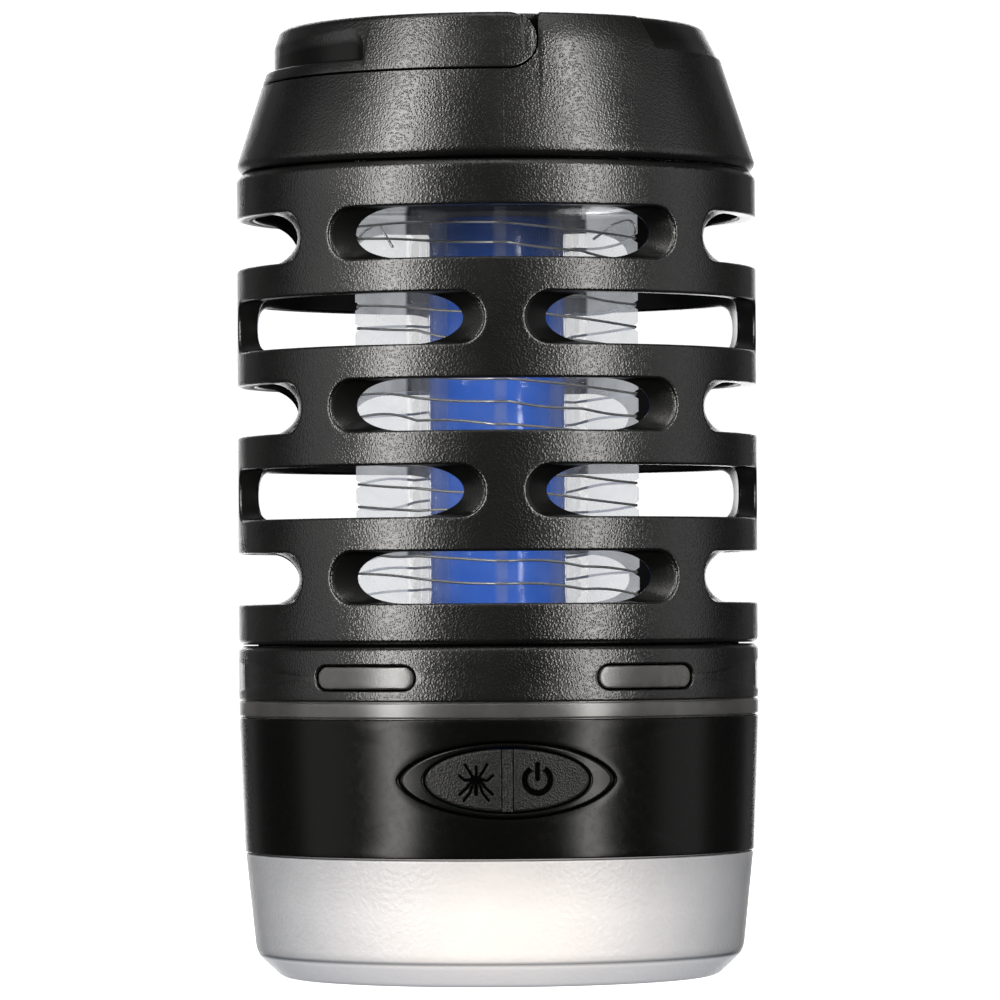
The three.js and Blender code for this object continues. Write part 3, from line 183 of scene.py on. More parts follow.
def rounded(corners, radius, steps=3):
    """Corners (..., n, 2) of an outline, each replaced by the curve (1-s)^2 A + 2s(1-s) C + s^2 B.

    A and B lie `radius` away from the corner C on its two sides, or at SHORT_SIDE_SHARE of a short side.
    A radius of 0 keeps the corner, and the first and the last corner are kept as they are.
    """
    corners = np.asarray(corners, float)
    reach = np.broadcast_to(np.asarray(radius, float), corners.shape[:-1]).copy()
    reach[..., 0] = 0
    reach[..., -1] = 0
    back = np.roll(corners, 1, axis=-2) - corners
    ahead = np.roll(corners, -1, axis=-2) - corners
    back_length = np.linalg.norm(back, axis=-1)
    ahead_length = np.linalg.norm(ahead, axis=-1)
    reach = np.minimum(reach, SHORT_SIDE_SHARE * np.minimum(back_length, ahead_length))[..., None]
    near = corners + back / np.maximum(back_length, TINY)[..., None] * reach
    far = corners + ahead / np.maximum(ahead_length, TINY)[..., None] * reach
    share = np.linspace(0, 1, steps + 1)[:, None]
    curve = ((1 - share) ** 2 * near[..., None, :] + 2 * share * (1 - share) * corners[..., None, :]
             + share ** 2 * far[..., None, :])
    return curve.reshape(*corners.shape[:-2], -1, 2)


def around(radius, azimuth, height):
    """Points at a radius, an azimuth in degrees and a height: (r sin a, -r cos a, z)."""
    angle = np.radians(azimuth)
    return np.stack(np.broadcast_arrays(radius * np.sin(angle), -radius * np.cos(angle), height), axis=-1)


def turned(profile, steps=TURN_STEPS, start=0.0):
    """A profile (n, 2) of radius and height swept right round the axis, as one wrapping grid."""
    azimuth = start + np.arange(steps) * 360 / steps
    return around(profile[:, None, 0], azimuth[None, :], profile[:, None, 1]), True


def smooth_step(value):
    """0 below 0, 1 above 1, and 3v^2 - 2v^3 between."""
    value = np.clip(value, 0, 1)
    return value * value * (3 - 2 * value)


# %% [markdown]
# ## Walls with holes
# The guard, the collar and the base are round walls with openings. Each is laid out in tiles, one
# round each opening: loops of points run from the tile's border in to the rim of the opening, over
# a small rounding, through the wall, and out again on the inside. Neighbouring tiles share their
# border points, so they weld. A boolean cut would leave long thin faces at every rim instead.

# %% Tile helpers
TILE_ACROSS = 48
TILE_UP = 10
RIM_STEPS = 3
FACE_STEPS = 5
WALL_STEPS = 3
FACE_CROWDING = 1.5  # above 1, the loops on a face crowd towards the opening


def tile_border(azimuths, heights, across=TILE_ACROSS, up=TILE_UP):
    """Loop of (azimuth, height) points round a tile, anticlockwise from its lower left corner, and angles.

    The angle runs evenly from -135 degrees over each side's quarter turn, for outlines drawn by angle.
    """
    along = np.arange(across) / across
    rise = np.arange(up) / up
    (left, right), (low, high) = azimuths, heights
    sides = [
        np.stack([left + (right - left) * along, np.full(across, low)], -1),
        np.stack([np.full(up, right), low + (high - low) * rise], -1),
        np.stack([right - (right - left) * along, np.full(across, high)], -1),
        np.stack([np.full(up, left), high - (high - low) * rise], -1),
    ]
    angle = np.concatenate([90 * along - 135, 90 * rise - 45, 90 * along + 45, 90 * rise + 135])
    return np.concatenate(sides), angle


def stadium(border, centre, half_width, end, half_height):
    """The point of a long hole nearest to each border point: straight sides and elliptic ends."""
    offset = border - centre
    straight = half_width - end
    middle = np.clip(offset[:, 0], -straight, straight)
    lean = np.stack([(offset[:, 0] - middle) / end, offset[:, 1] / half_height], -1)
    lean /= np.linalg.norm(lean, axis=-1, keepdims=True)
    return np.stack([middle + lean[:, 0] * end, lean[:, 1] * half_height], -1) + centre


def holed_wall(border, rim, wall, outer, rim_radius):
    """Loops from the border over the outer face, the rim, the hole's wall and the inner face back.

    rim(grow, depth) is the hole's outline, grown by `grow` mm, at a share of the way through the wall;
    outer(height) is the outer radius and wall the thickness. The rim's rounding is a quarter circle:
    r (1 - sin t) beyond the hole and r (1 - cos t) below the face.
    """
    loops = []

    def face(outline, depth, shares=(0,)):
        for share in shares:
            flat = outline + (border - outline) * share
            loops.append(around(outer(flat[:, 1]) - depth, flat[:, 0], flat[:, 1]))

    even = np.linspace(1, 0, FACE_STEPS + 1)
    turns = np.radians(np.linspace(0, 90, RIM_STEPS + 1))
    face(rim(rim_radius, 0), 0, even ** FACE_CROWDING)
    for turn in turns[1:]:
        face(rim(rim_radius * (1 - math.sin(turn)), 0), rim_radius * (1 - math.cos(turn)))
    for share in np.linspace(0, 1, WALL_STEPS + 1)[1:]:
        face(rim(0, share), rim_radius + (wall - 2 * rim_radius) * share)
    for turn in turns[-2::-1]:
        face(rim(rim_radius * (1 - math.sin(turn)), 1), wall - rim_radius * (1 - math.cos(turn)))
    face(rim(rim_radius, 1), wall, even[::-1][1:] ** FACE_CROWDING)
    return np.array(loops), True


def plain_wall(azimuths, heights, wall, outer, across=TILE_ACROSS, up=TILE_UP):
    """The outer and the inner face of a tile without a hole, as two grids."""
    azimuth = np.linspace(*azimuths, across + 1)[None, :]
    height = np.linspace(*heights, up + 1)[:, None]
    return [(around(outer(height) - depth, azimuth, height), False) for depth in (0, wall)]


def degrees(length, radius=None):
    """The azimuth that a length in mm takes on the body's surface."""
    return np.degrees(length / (radius or BODY_RADIUS))


# %% [markdown]
# ## Guard
# The guard is one injection moulding: a tube 3 mm thick with five rows of four long openings, every
# other row turned by half an opening. On the outside the openings end in half circles; on the
# inside they are shorter, so that their ends slope like a spoon and keep fingers from the wires.

# %% Make the guard
GUARD_WALL = 3.0
ROWS = 5
PER_ROW = 4
FOOT_BAND = 11.15
HEAD_BAND = 12.0
FIRST_ROW = GUARD_LOW[2] - SEAM / 2 + FOOT_BAND
ROW_PITCH = (GUARD_HIGH[2] + SEAM / 2 - HEAD_BAND - FIRST_ROW) / (ROWS - 1)
OPENING_HALF_HEIGHT = 4.25
# Half the length of an opening and the length of its round end, in degrees round the guard.
OPENING_OUTER = (40.55, 5.5)
OPENING_INNER = (35.65, 12.5)
GUARD_RIM = 0.45
GUARD_FOOT_EDGE = 0.3
GUARD_HEAD_EDGE = 0.35
GROOVE_DEPTH = 0.8
GROOVE_REACH = 1.2
SEAM_GROOVE_DEPTH = 0.6
SEAM_GROOVE_REACH = 0.8
FLANGE_INNER = 28.0
FLANGE_THICKNESS = 2.4


def guard_opening(border, centre):
    """Outline of one opening as a function of how far it is grown and how deep in the wall it is."""
    def rim(grow, depth):
        half, end = [a + (b - a) * depth for a, b in zip(OPENING_OUTER, OPENING_INNER)]
        spread = degrees(grow)
        return stadium(border, centre, half + spread, end + spread, OPENING_HALF_HEIGHT + grow)
    return rim


def guard_grids():
    """Twenty holed tiles, and the turned bands below and above them."""
    grids = []
    inner = BODY_RADIUS - GUARD_WALL
    width = 360 / PER_ROW
    half = np.array([-0.5, 0.5])
    for row in range(ROWS):
        height = FIRST_ROW + row * ROW_PITCH
        for index in range(PER_ROW):
            azimuth = width * (index + (row % 2) / 2)
            border = tile_border(azimuth + width * half, height + ROW_PITCH * half)[0]
            rim = guard_opening(border, np.array([azimuth, height]))
            grids.append(holed_wall(border, rim, GUARD_WALL, lambda z: BODY_RADIUS, GUARD_RIM))
    low = FIRST_ROW - ROW_PITCH / 2
    high = FIRST_ROW + (ROWS - 0.5) * ROW_PITCH
    foot = [[inner, low], [inner, GUARD_LOW[2]], [BODY_RADIUS - SEAM_GROOVE_DEPTH, GUARD_LOW[2]],
            [BODY_RADIUS, GUARD_LOW[2] - SEAM / 2 + SEAM_GROOVE_REACH], [BODY_RADIUS, low]]
    flange = GUARD_HIGH[2] - FLANGE_THICKNESS
    head = [[BODY_RADIUS, high], [BODY_RADIUS, GUARD_HIGH[2] + SEAM / 2 - GROOVE_REACH],
            [BODY_RADIUS - GROOVE_DEPTH, GUARD_HIGH[2]], [FLANGE_INNER, GUARD_HIGH[2]],
            [FLANGE_INNER, flange], [inner, flange], [inner, high]]
    for outline, edge in [(foot, GUARD_FOOT_EDGE), (head, GUARD_HEAD_EDGE)]:
        grids.append(turned(rounded(outline, edge), TILE_ACROSS * PER_ROW, -width / 2))
    return grids


piece("guard_shell", guard_grids(), "guard", "textured_black", ["guard"])

# %% [markdown]
# ## Collar
# The collar closes the base. Four long windows in it let the lamp shine out at the sides; each holds
# a smoke-grey lens with a thin dark gap all round. The deck inside carries the cage.

# %% Make the collar and its lenses
COLLAR_WALL = 3.0
WINDOW_AZIMUTHS = {"front_left": -32.5, "front_right": 32.5, "rear_right": 147.5, "rear_left": -147.5}
WINDOW_HALF_ANGLE = 12.3
WINDOW_HALF_HEIGHT = 1.85
WINDOW_RISE = 4.0
WINDOW_HEIGHT = RING_HIGH[2] + SEAM / 2 + WINDOW_RISE
WINDOW_TILE_HALF = 2.6
WINDOW_GAP = 0.3
LENS_RECESS = 0.35
LENS_EDGE = 0.35
LENS_TILE = np.array([16.0, 3.0])  # half width in degrees, half height in mm
LENS_TILE_UP = 12
COLLAR_RIM = 0.25
COLLAR_EDGE = 0.3
DECK_FIT = 0.3
DECK_TOP = CAGE_LOW[2] - DECK_FIT
DECK_THICKNESS = 1.2
CORE_INNER = 9.9
GUARD_FIT = 0.3
SPIGOT_WALL = 1.5


def window_rim(border, azimuth):
    """Outline of a light window, grown by `grow` mm, the same all the way through the wall."""
    def rim(grow, depth):
        end = degrees(WINDOW_HALF_HEIGHT + grow)
        half = WINDOW_HALF_ANGLE + degrees(grow)
        return stadium(border, np.array([azimuth, WINDOW_HEIGHT]), half, end, WINDOW_HALF_HEIGHT + grow)
    return rim


def collar_grids():
    """Four tiles with a window each, and the turned rest of the collar with its deck."""
    inner = BODY_RADIUS - COLLAR_WALL
    low, high = WINDOW_HEIGHT - WINDOW_TILE_HALF, WINDOW_HEIGHT + WINDOW_TILE_HALF
    grids = []
    for azimuth in WINDOW_AZIMUTHS.values():
        left = 90 * math.floor(azimuth / 90)
        border = tile_border((left, left + 90), (low, high))[0]
        opening = window_rim(border, azimuth)

        def rim(grow, depth, opening=opening):
            return opening(WINDOW_GAP + grow, depth)

        grids.append(holed_wall(border, rim, COLLAR_WALL, lambda z: BODY_RADIUS, COLLAR_RIM))
    edge = GUARD_LOW[2] - SEAM
    spigot = BODY_RADIUS - GUARD_WALL - GUARD_FIT
    deck = spigot - SPIGOT_WALL
    under_deck = DECK_TOP - DECK_THICKNESS
    top = [[BODY_RADIUS, high], [BODY_RADIUS, edge + SEAM / 2 - SEAM_GROOVE_REACH],
           [BODY_RADIUS - SEAM_GROOVE_DEPTH, edge], [spigot, edge], [spigot, COLLAR_HIGH[2]],
           [deck, COLLAR_HIGH[2]], [deck, DECK_TOP], [CORE_INNER, DECK_TOP],
           [CORE_INNER, under_deck], [inner, under_deck], [inner, high]]
    foot_height = RING_HIGH[2] + SEAM
    foot = [[inner, low], [inner, foot_height], [BODY_RADIUS, foot_height], [BODY_RADIUS, low]]
    return grids + [turned(rounded(outline, COLLAR_EDGE), TILE_ACROSS * 4) for outline in (top, foot)]


piece("collar_shell", collar_grids(), "base", "textured_black", ["base_collar"])


def lens_grids(azimuth):
    """A slab that fills the window: loops from its back's middle line out, over the edge and in again."""
    centre = np.array([azimuth, WINDOW_HEIGHT])
    border = tile_border(*np.stack([centre - LENS_TILE, centre + LENS_TILE], -1), up=LENS_TILE_UP)[0]
    face = BODY_RADIUS - LENS_RECESS
    back = BODY_RADIUS - COLLAR_WALL
    straight = WINDOW_HALF_ANGLE - degrees(WINDOW_HALF_HEIGHT)
    middle = azimuth + np.clip(border[:, 0] - azimuth, -straight, straight)
    grid = [around(back, middle, WINDOW_HEIGHT)]
    for shrink, radius in [(1, back), (0, back), (0, face - LENS_EDGE),
                           (0.12 * LENS_EDGE, face - 0.45 * LENS_EDGE),
                           (0.45 * LENS_EDGE, face - 0.12 * LENS_EDGE), (LENS_EDGE, face), (1, face)]:
        height = WINDOW_HALF_HEIGHT - shrink
        flat = stadium(border, centre, WINDOW_HALF_ANGLE - degrees(shrink), degrees(height), height)
        grid.append(around(radius, flat[:, 0], flat[:, 1]))
    grid.append(around(face, middle, WINDOW_HEIGHT))
    return [(np.array(grid), True)]


for site, azimuth in WINDOW_AZIMUTHS.items():
    piece(f"lens_{site}", lens_grids(azimuth), "base", "smoke_grey", [f"window_lens_{site}"])

# %% [markdown]
# ## Grey ring
# A ring of smoke-tinted plastic is squeezed between the base and the collar. It is a turned band
# whose two edges are rounded, and the roundings are what shows as thin light lines. A lip above and
# below it reaches into the seams and closes them, so that no light leaks out between the parts.

# %% Make the ring
RING_WIDTH = 5.0
RING_LIP = 0.5
RING_FIT = 0.02
RING_EDGE = 0.35
RING_LIP_EDGE = 0.1
ring_foot, ring_head = RING_LOW[2] - SEAM + RING_FIT, RING_HIGH[2] + SEAM - RING_FIT
ring_inside, ring_lip = BODY_RADIUS - RING_WIDTH, BODY_RADIUS - RING_LIP
ring_profile = [[ring_inside, ring_head], [ring_inside, ring_foot], [ring_lip, ring_foot],
                [ring_lip, RING_LOW[2]], [BODY_RADIUS, RING_LOW[2]], [BODY_RADIUS, RING_HIGH[2]],
                [ring_lip, RING_HIGH[2]], [ring_lip, ring_head], [ring_inside, ring_head]]
ring_edges = [0] + 3 * [RING_LIP_EDGE] + 2 * [RING_EDGE] + 2 * [RING_LIP_EDGE] + [0]
piece("ring_band", [turned(rounded(ring_profile, ring_edges, 4))], "base", "smoke_grey", ["seal_ring"])

# %% [markdown]
# ## Base housing
# The base is a smooth moulding that widens a little towards the top. An almond-shaped opening at the
# front holds the button panel, and a shallow seat at the back takes the charging port's flap. The
# front and the back quarter are tiles with a hole, the two side quarters are plain.

# %% Make the base housing
HOUSING_DRAFT = 0.85
HOUSING_WALL = 2.4
HOUSING_RIM = 0.3
PANEL_HEIGHT = (PANEL_LOW[2] + PANEL_HIGH[2]) / 2
PANEL_TRIM = 0.35
PANEL_HALF = ((PANEL_HIGH[0] - PANEL_LOW[0]) / 2 - PANEL_TRIM, (PANEL_HIGH[2] - PANEL_LOW[2]) / 2)
POINT_GROWTH = 1.6  # a pointed end grows more than the sides when an outline grows evenly
PAD_HALF = (13.45, 5.15)
POINTED = 0.2
PANEL_GAP = 0.25
PORT_HEIGHT = 33.0
PORT_HALF = (4.9, 2.0)
FLAP_HALF = (8.0, 5.0)
FLAP_CORNER = 2.0
FLAP_THICKNESS = 1.3
FLAP_GAP = 0.3
HOUSING_TILE_UP = 28
HOUSING_EDGE = 0.25
EDGE_BAND = 1.0
PORT_EDGE = 0.2


def housing_radius(height):
    """Outer radius of the base at a height."""
    top = HOUSING_HIGH[2] + SEAM / 2
    return BODY_RADIUS - HOUSING_DRAFT * (top - height) / (top - HOUSING_LOW[2] + SEAM / 2)


def almond(angle, half_width, half_height):
    """An oval with slightly pointed ends: x = w cos t, z = h sin t |sin t|^0.2."""
    turn = np.radians(angle)
    rise = np.sin(turn)
    return np.stack([half_width * np.cos(turn), half_height * rise * np.abs(rise) ** POINTED], -1)


def oval(angle, half_width, half_height):
    """An ellipse: x = w cos t, z = h sin t."""
    turn = np.radians(angle)
    return np.stack([half_width * np.cos(turn), half_height * np.sin(turn)], -1)


def soft_rectangle(angle, half_width, half_height, corner):
    """A rectangle with round corners, walked side by side as the angle passes each quarter turn."""
    turn = np.radians(angle)
    ray = np.stack([np.cos(turn), np.sin(turn)], -1)
    square = ray / np.abs(ray).max(axis=-1, keepdims=True)
    point = square * [half_width, half_height]
    limit = np.array([half_width - corner, half_height - corner])
    middle = np.clip(point, -limit, limit)
    lean = point - middle
    length = np.maximum(np.linalg.norm(lean, axis=-1, keepdims=True), TINY)
    return middle + lean / length * corner


def front_azimuth(flat, radius):
    """(x, z) drawn on a plane facing the front, laid on the wall along Y: azimuth and height."""
    return np.stack([np.degrees(np.arcsin(flat[:, 0] / radius)), flat[:, 1] + PANEL_HEIGHT], -1)


def rear_rectangle(angle, half, grow, corner):
    """A rectangle with round corners, grown by `grow` mm, laid on the back of the base."""
    flat = soft_rectangle(angle, half[0] + grow, half[1] + grow, corner)
    return np.stack([180 + degrees(flat[:, 0]), flat[:, 1] + PORT_HEIGHT], -1)


def housing_grids():
    """The front and rear tiles with their holes, the side tiles, and the two turned rims."""
    low, high = HOUSING_LOW[2] + EDGE_BAND, HOUSING_HIGH[2] - EDGE_BAND
    up = HOUSING_TILE_UP
    border, angle = tile_border((-45, 45), (low, high), up=up)

    def panel_rim(grow, depth):
        half_width = PANEL_HALF[0] + PANEL_GAP + POINT_GROWTH * grow
        flat = almond(angle, half_width, PANEL_HALF[1] + PANEL_GAP + grow)
        return front_azimuth(flat, housing_radius(PANEL_HEIGHT))

    grids = [holed_wall(border, panel_rim, HOUSING_WALL, housing_radius, HOUSING_RIM)]
    border, angle = tile_border((135, 225), (low, high), up=up)

    def seat_rim(grow, depth):
        return rear_rectangle(angle, FLAP_HALF, FLAP_GAP + grow, FLAP_CORNER)

    seat_depth = FLAP_THICKNESS + FLAP_GAP
    outside = holed_wall(border, seat_rim, seat_depth + HOUSING_RIM, housing_radius, HOUSING_RIM)[0]
    outside = outside[:FACE_STEPS + RIM_STEPS + 2]
    port = rear_rectangle(angle, PORT_HALF, 0, PORT_HALF[1])
    steps = [(seat_rim(0, 0), seat_depth),
             (rear_rectangle(angle, PORT_HALF, PORT_EDGE, PORT_HALF[1]), seat_depth),
             (port, seat_depth + PORT_EDGE), (port, HOUSING_WALL)]
    steps += [(port + (border - port) * share, HOUSING_WALL) for share in np.linspace(0, 1, 5)[1:]]
    inside = [around(housing_radius(flat[:, 1]) - depth, flat[:, 0], flat[:, 1]) for flat, depth in steps]
    grids.append((np.concatenate([outside, inside]), True))
    for azimuths in [(45, 135), (225, 315)]:
        grids += plain_wall(azimuths, (low, high), HOUSING_WALL, housing_radius, up=up)
    for edge, tile in [(HOUSING_HIGH[2], high), (HOUSING_LOW[2], low)]:
        outline = [[housing_radius(tile), tile], [housing_radius(edge), edge],
                   [housing_radius(edge) - HOUSING_WALL, edge], [housing_radius(tile) - HOUSING_WALL, tile]]
        grids.append(turned(rounded(outline, HOUSING_EDGE), TILE_ACROSS * 4, -45))
    return grids


piece("housing_shell", housing_grids(), "base", "satin_black", ["base_housing"])

# %% [markdown]
# ## Button panel
# An almond-shaped bezel fills the opening in the base and frames an oval rubber pad. A skirt behind
# its edge laps the wall, so that nothing inside shows through the gap. Loops of points go from the
# bezel's outer outline in to the oval, over a small rounding at both.

# %% Make the bezel
PANEL_RADIUS = -PANEL_LOW[1]
PANEL_LOOP = 192
BEZEL_SKIRT = 0.8
BEZEL_BACK = HOUSING_WALL + 0.5
POINT_INSET = 1.8  # and a pointed end is inset more than the sides
loop_angle = np.arange(PANEL_LOOP) * 360 / PANEL_LOOP


def on_panel(flat, sink):
    """(x, z) laid on the panel's cylinder along Y, sunk by `sink` mm."""
    radius = PANEL_RADIUS - sink
    x, z = flat[..., 0], flat[..., 1]
    return np.stack([x, -np.sqrt(radius ** 2 - x ** 2), z + PANEL_HEIGHT], -1)


def bezel_grids():
    """Loops (inset, depth) from the back up the outer side, across the face and down the oval's side."""
    skirt = HOUSING_WALL + 0.1
    outer = [(-BEZEL_SKIRT, BEZEL_BACK), (-BEZEL_SKIRT, skirt), (0, skirt), (0, 0.35), (0.06, 0.16),
             (0.18, 0.05), (0.34, 0.0)]
    inner = [(0.3, 0.0), (0.16, 0.05), (0.05, 0.15), (0, 0.3), (0, BEZEL_BACK)]

    def rim(inset):
        return almond(loop_angle, PANEL_HALF[0] - POINT_INSET * inset, PANEL_HALF[1] - inset)

    def hole(inset):
        return oval(loop_angle, PAD_HALF[0] + PANEL_GAP + inset, PAD_HALF[1] + PANEL_GAP + inset)

    first, last = rim(outer[-1][0]), hole(inner[0][0])
    loops = [on_panel(rim(inset), sink) for inset, sink in outer]
    loops += [on_panel(first + (last - first) * share, 0) for share in (0.04, 0.33, 0.66, 0.96)]
    loops += [on_panel(hole(inset), sink) for inset, sink in inner]
    return [(np.array(loops + loops[:1]), True)]


piece("panel_bezel", bezel_grids(), "base", "satin_black", ["button_bezel"])

# %% [markdown]
# ## Buttons
# The pad is moulded rubber split into two buttons by a narrow strip. Each button carries a sunk
# sign: a mosquito for the grid, and the usual power sign for the lamp. The signs are drawn as signed
# distances - how far each point of the face is from the drawing's edge - and the face is pushed in
# where that distance is negative, so they are real relief. The finish also paints shade into them.

# %% Signs as distances
def stroke(point, start, end, width):
    """Distance to a line with round ends: |p - nearest point| - width / 2."""
    start, end = np.array(start, float), np.array(end, float)
    along = end - start
    share = np.clip(((point - start) @ along) / (along @ along), 0, 1)
    return np.linalg.norm(point - start - share[..., None] * along, axis=-1) - width / 2


def egg(point, centre, half_width, half_height):
    """Rough distance to an ellipse: (|p / half sizes| - 1) times the smaller half size."""
    size = np.hypot((point[..., 0] - centre[0]) / half_width, (point[..., 1] - centre[1]) / half_height)
    return (size - 1) * min(half_width, half_height)


def mosquito_sign(point):
    """A mosquito seen from above: chest, tail, proboscis and four bent legs on each side."""
    shapes = [egg(point, (0, 0), 1.15, 0.7), stroke(point, (0, -0.4), (0, -2.2), 0.62),
              stroke(point, (0, 0.5), (0, 2.3), 0.34)]
    # Each leg is three points: the hip, the knee and the foot.
    legs = [((0.5, 0.5), (1.15, 1.5), (1.8, 2.6)), ((0.7, 0.05), (1.9, 0.05), (2.75, 0.8)),
            ((0.85, -0.25), (1.45, -1.15), (2.7, -2.3)), ((0.55, -0.6), (1.0, -2.0), (2.05, -3.3))]
    for side in (-1, 1):
        for (ax, az), (bx, bz), (cx, cz) in legs:
            shapes.append(stroke(point, (side * ax, az), (side * bx, bz), 0.4))
            shapes.append(stroke(point, (side * bx, bz), (side * cx, cz), 0.36))
    return np.minimum.reduce(shapes)


def power_sign(point):
    """An open ring with a bar in its gap."""
    ring_radius, width = 2.1, 0.9
    distance = np.abs(np.linalg.norm(point, axis=-1) - ring_radius) - width / 2
    gap = egg(point, (0, 2.6), 1.55, 1.3)
    return np.minimum(np.maximum(distance, -gap), stroke(point, (0, 0.2), (0, 2.6), 0.72))


# %% Make the buttons and the strip
MOSQUITO_AT = (-5.1, 0.0)
POWER_AT = (4.9, 0.0)
SIGN_DEPTH = 0.42
SIGN_SLOPE = 0.16
WEB_WIDTH = 1.9
WEB_GAP = 0.1
WEB_EDGE = 0.2
RIB_HEIGHT = 0.05
RIB_ASIDE = 0.3
RIB_WIDTH = 0.08
BUTTON_THICKNESS = 2.6
BUTTON_EDGE = 0.55
BUTTON_EDGE_FALL = 0.7
WEB_SIDE_STEEPNESS = 3
BUTTON_ACROSS = 150
BUTTON_UP = 130


def grid_border(grid):
    """The points round the edge of a grid, in order."""
    return np.concatenate([grid[:, 0], grid[-1, 1:-1], grid[::-1, -1], grid[0, -2:0:-1]])


def in_sign(sign, place, flat):
    """1 inside a sign placed on the panel, 0 outside, and a slope SIGN_SLOPE mm wide between."""
    return smooth_step(0.5 - sign(flat - np.array(place)) / SIGN_SLOPE)


def button_grids(side, sign, place):
    """Half an oval as a grid: x from the strip to the tip, z = v h(x). Near its edge the face falls away."""
    near = WEB_WIDTH / 2
    share = np.linspace(0, 1, BUTTON_ACROSS)
    share = share - 0.08 * np.sin(2 * np.pi * share) / (2 * np.pi)
    share = 0.35 * np.sin(share * np.pi / 2) + 0.65 * share
    x = near + (PAD_HALF[0] - near) * share[:, None]
    v = np.linspace(-1, 1, BUTTON_UP)
    v = 0.3 * np.sin(v * np.pi / 2) + 0.7 * v
    reach = PAD_HALF[1] * np.sqrt(np.maximum(1 - (x / PAD_HALF[0]) ** 2, 0))
    flat = np.stack(np.broadcast_arrays(side * x, v[None, :] * reach), -1)
    slope = np.hypot(1, PAD_HALF[1] ** 2 * x / PAD_HALF[0] ** 2 / np.maximum(reach, 0.3))
    to_rim = (1 - np.abs(v))[None, :] * reach / slope
    inside = np.minimum(to_rim, (x - near) * WEB_SIDE_STEEPNESS)
    bend = np.clip(1 - inside / BUTTON_EDGE, 0, 1)
    sink = BUTTON_EDGE * (1 - np.sqrt(1 - bend ** 2)) * BUTTON_EDGE_FALL
    face = on_panel(flat, sink + SIGN_DEPTH * in_sign(sign, place, flat))
    rim = grid_border(flat)
    centre = np.array([side * (near + PAD_HALF[0]) / 2, 0.0])
    back = [on_panel(np.broadcast_to(outline, rim.shape), BUTTON_THICKNESS) for outline in (rim, centre)]
    return [(face, False), (np.array([grid_border(face), *back]), True)]


def mark_sign(pad, sign, place):
    """Stores how far inside the sign each point is, 0 to 1, for the finish, which paints shade there."""
    points = np.empty(len(pad.data.vertices) * 3, np.float32)
    pad.data.vertices.foreach_get("co", points)
    points = points.reshape(-1, 3) / MM
    flat = np.stack([points[:, 0], points[:, 2] - PANEL_HEIGHT], -1)
    inside = in_sign(sign, place, flat) * (points[:, 1] < 2 - PANEL_RADIUS)
    pad.data.attributes.new("sunk", "FLOAT", "POINT").data.foreach_set("value", inside.astype(np.float32))


for name, body, side, sign, place in [("zap_pad", "zap_button", -1, mosquito_sign, MOSQUITO_AT),
                                      ("light_pad", "light_button", 1, power_sign, POWER_AT)]:
    pad = piece(name, button_grids(side, sign, place), body, "black_rubber", [body], 60)
    mark_sign(pad, sign, place)


def web_grids():
    """The narrow strip between the buttons: rounded edges, and two low ribs, each a bell curve."""
    half = WEB_WIDTH / 2 - WEB_GAP
    x = np.linspace(-half, half, 25)
    z = np.linspace(-1, 1, 41) * (PAD_HALF[1] - WEB_GAP)
    flat = np.stack(np.meshgrid(x, z, indexing="ij"), -1)
    aside = np.abs(flat[..., 0])
    edge = np.clip(1 - (half - aside) / WEB_EDGE, 0, 1)
    sink = WEB_EDGE / 2 * (1 - np.sqrt(1 - edge ** 2))
    sink = sink + RIB_HEIGHT * (1 - np.exp(-((aside - RIB_ASIDE) / RIB_WIDTH) ** 2))
    face, back = on_panel(flat, sink), on_panel(flat, BUTTON_THICKNESS)
    return [(face, False), (back, False), (np.array([grid_border(face), grid_border(back)]), True)]


piece("pad_strip", web_grids(), "base", "black_rubber", ["button_web"])

# %% [markdown]
# ## Charging port flap
# A soft rubber skin with rounded corners lies flush in its seat at the back. A fine line runs round
# its face, and a plug behind it seals the port.

# %% Make the flap
FLAP_LOOP = 160
PLUG_LENGTH = 1.0
PLUG_FIT = 0.3
PLUG_EDGE = 0.2


def flap_grids():
    """Loops from the middle of the face out over a rounded edge, in at the back, and out along the plug."""
    angle = np.arange(FLAP_LOOP) * 360 / FLAP_LOOP
    outer = housing_radius(PORT_HEIGHT)

    def loop(half, corner, depth):
        flat = soft_rectangle(angle, *half, corner)
        out = np.sqrt((outer - depth) ** 2 - flat[:, 0] ** 2)
        return np.stack([-flat[:, 0], out, flat[:, 1] + PORT_HEIGHT], -1)

    # Insets and depths over the face's edge. The dip near 0.6 mm is the line round the face.
    edge = [(0.75, 0.0), (0.65, 0.12), (0.5, 0.12), (0.4, 0.0), (0.35, 0.0), (0.15, 0.06), (0.03, 0.2),
            (0.0, 0.35), (0.0, FLAP_THICKNESS)]
    point = ((0.02, 0.02), 0.01)
    face, port, plug = np.array(FLAP_HALF), np.array(PORT_HALF), FLAP_THICKNESS + PLUG_LENGTH
    steps = [(*point, 0.0)]
    steps += [(face * share, FLAP_CORNER * share, 0.0) for share in (0.4, 0.7, 0.82)]
    steps += [(face - inset, FLAP_CORNER, depth) for inset, depth in edge]
    steps += [(port - PLUG_FIT, 1.6, FLAP_THICKNESS), (port - PLUG_FIT, 1.6, plug - PLUG_EDGE),
              (port - PLUG_FIT - PLUG_EDGE, 1.4, plug), (*point, plug)]
    grid = np.array([loop(*step) for step in steps])
    grid[[0, -1]] = grid[[0, -1]].mean(axis=1, keepdims=True)
    return [(grid, True)]


piece("port_cover", flap_grids(), "port_flap", "black_rubber", ["port_flap"])

# %% [markdown]
# ## Lamp cover
# The foot is a frosted bowl 2 mm thick, with a straight wall, a chamfer and a flat underside. It is
# turned from one profile whose corners are rounded.

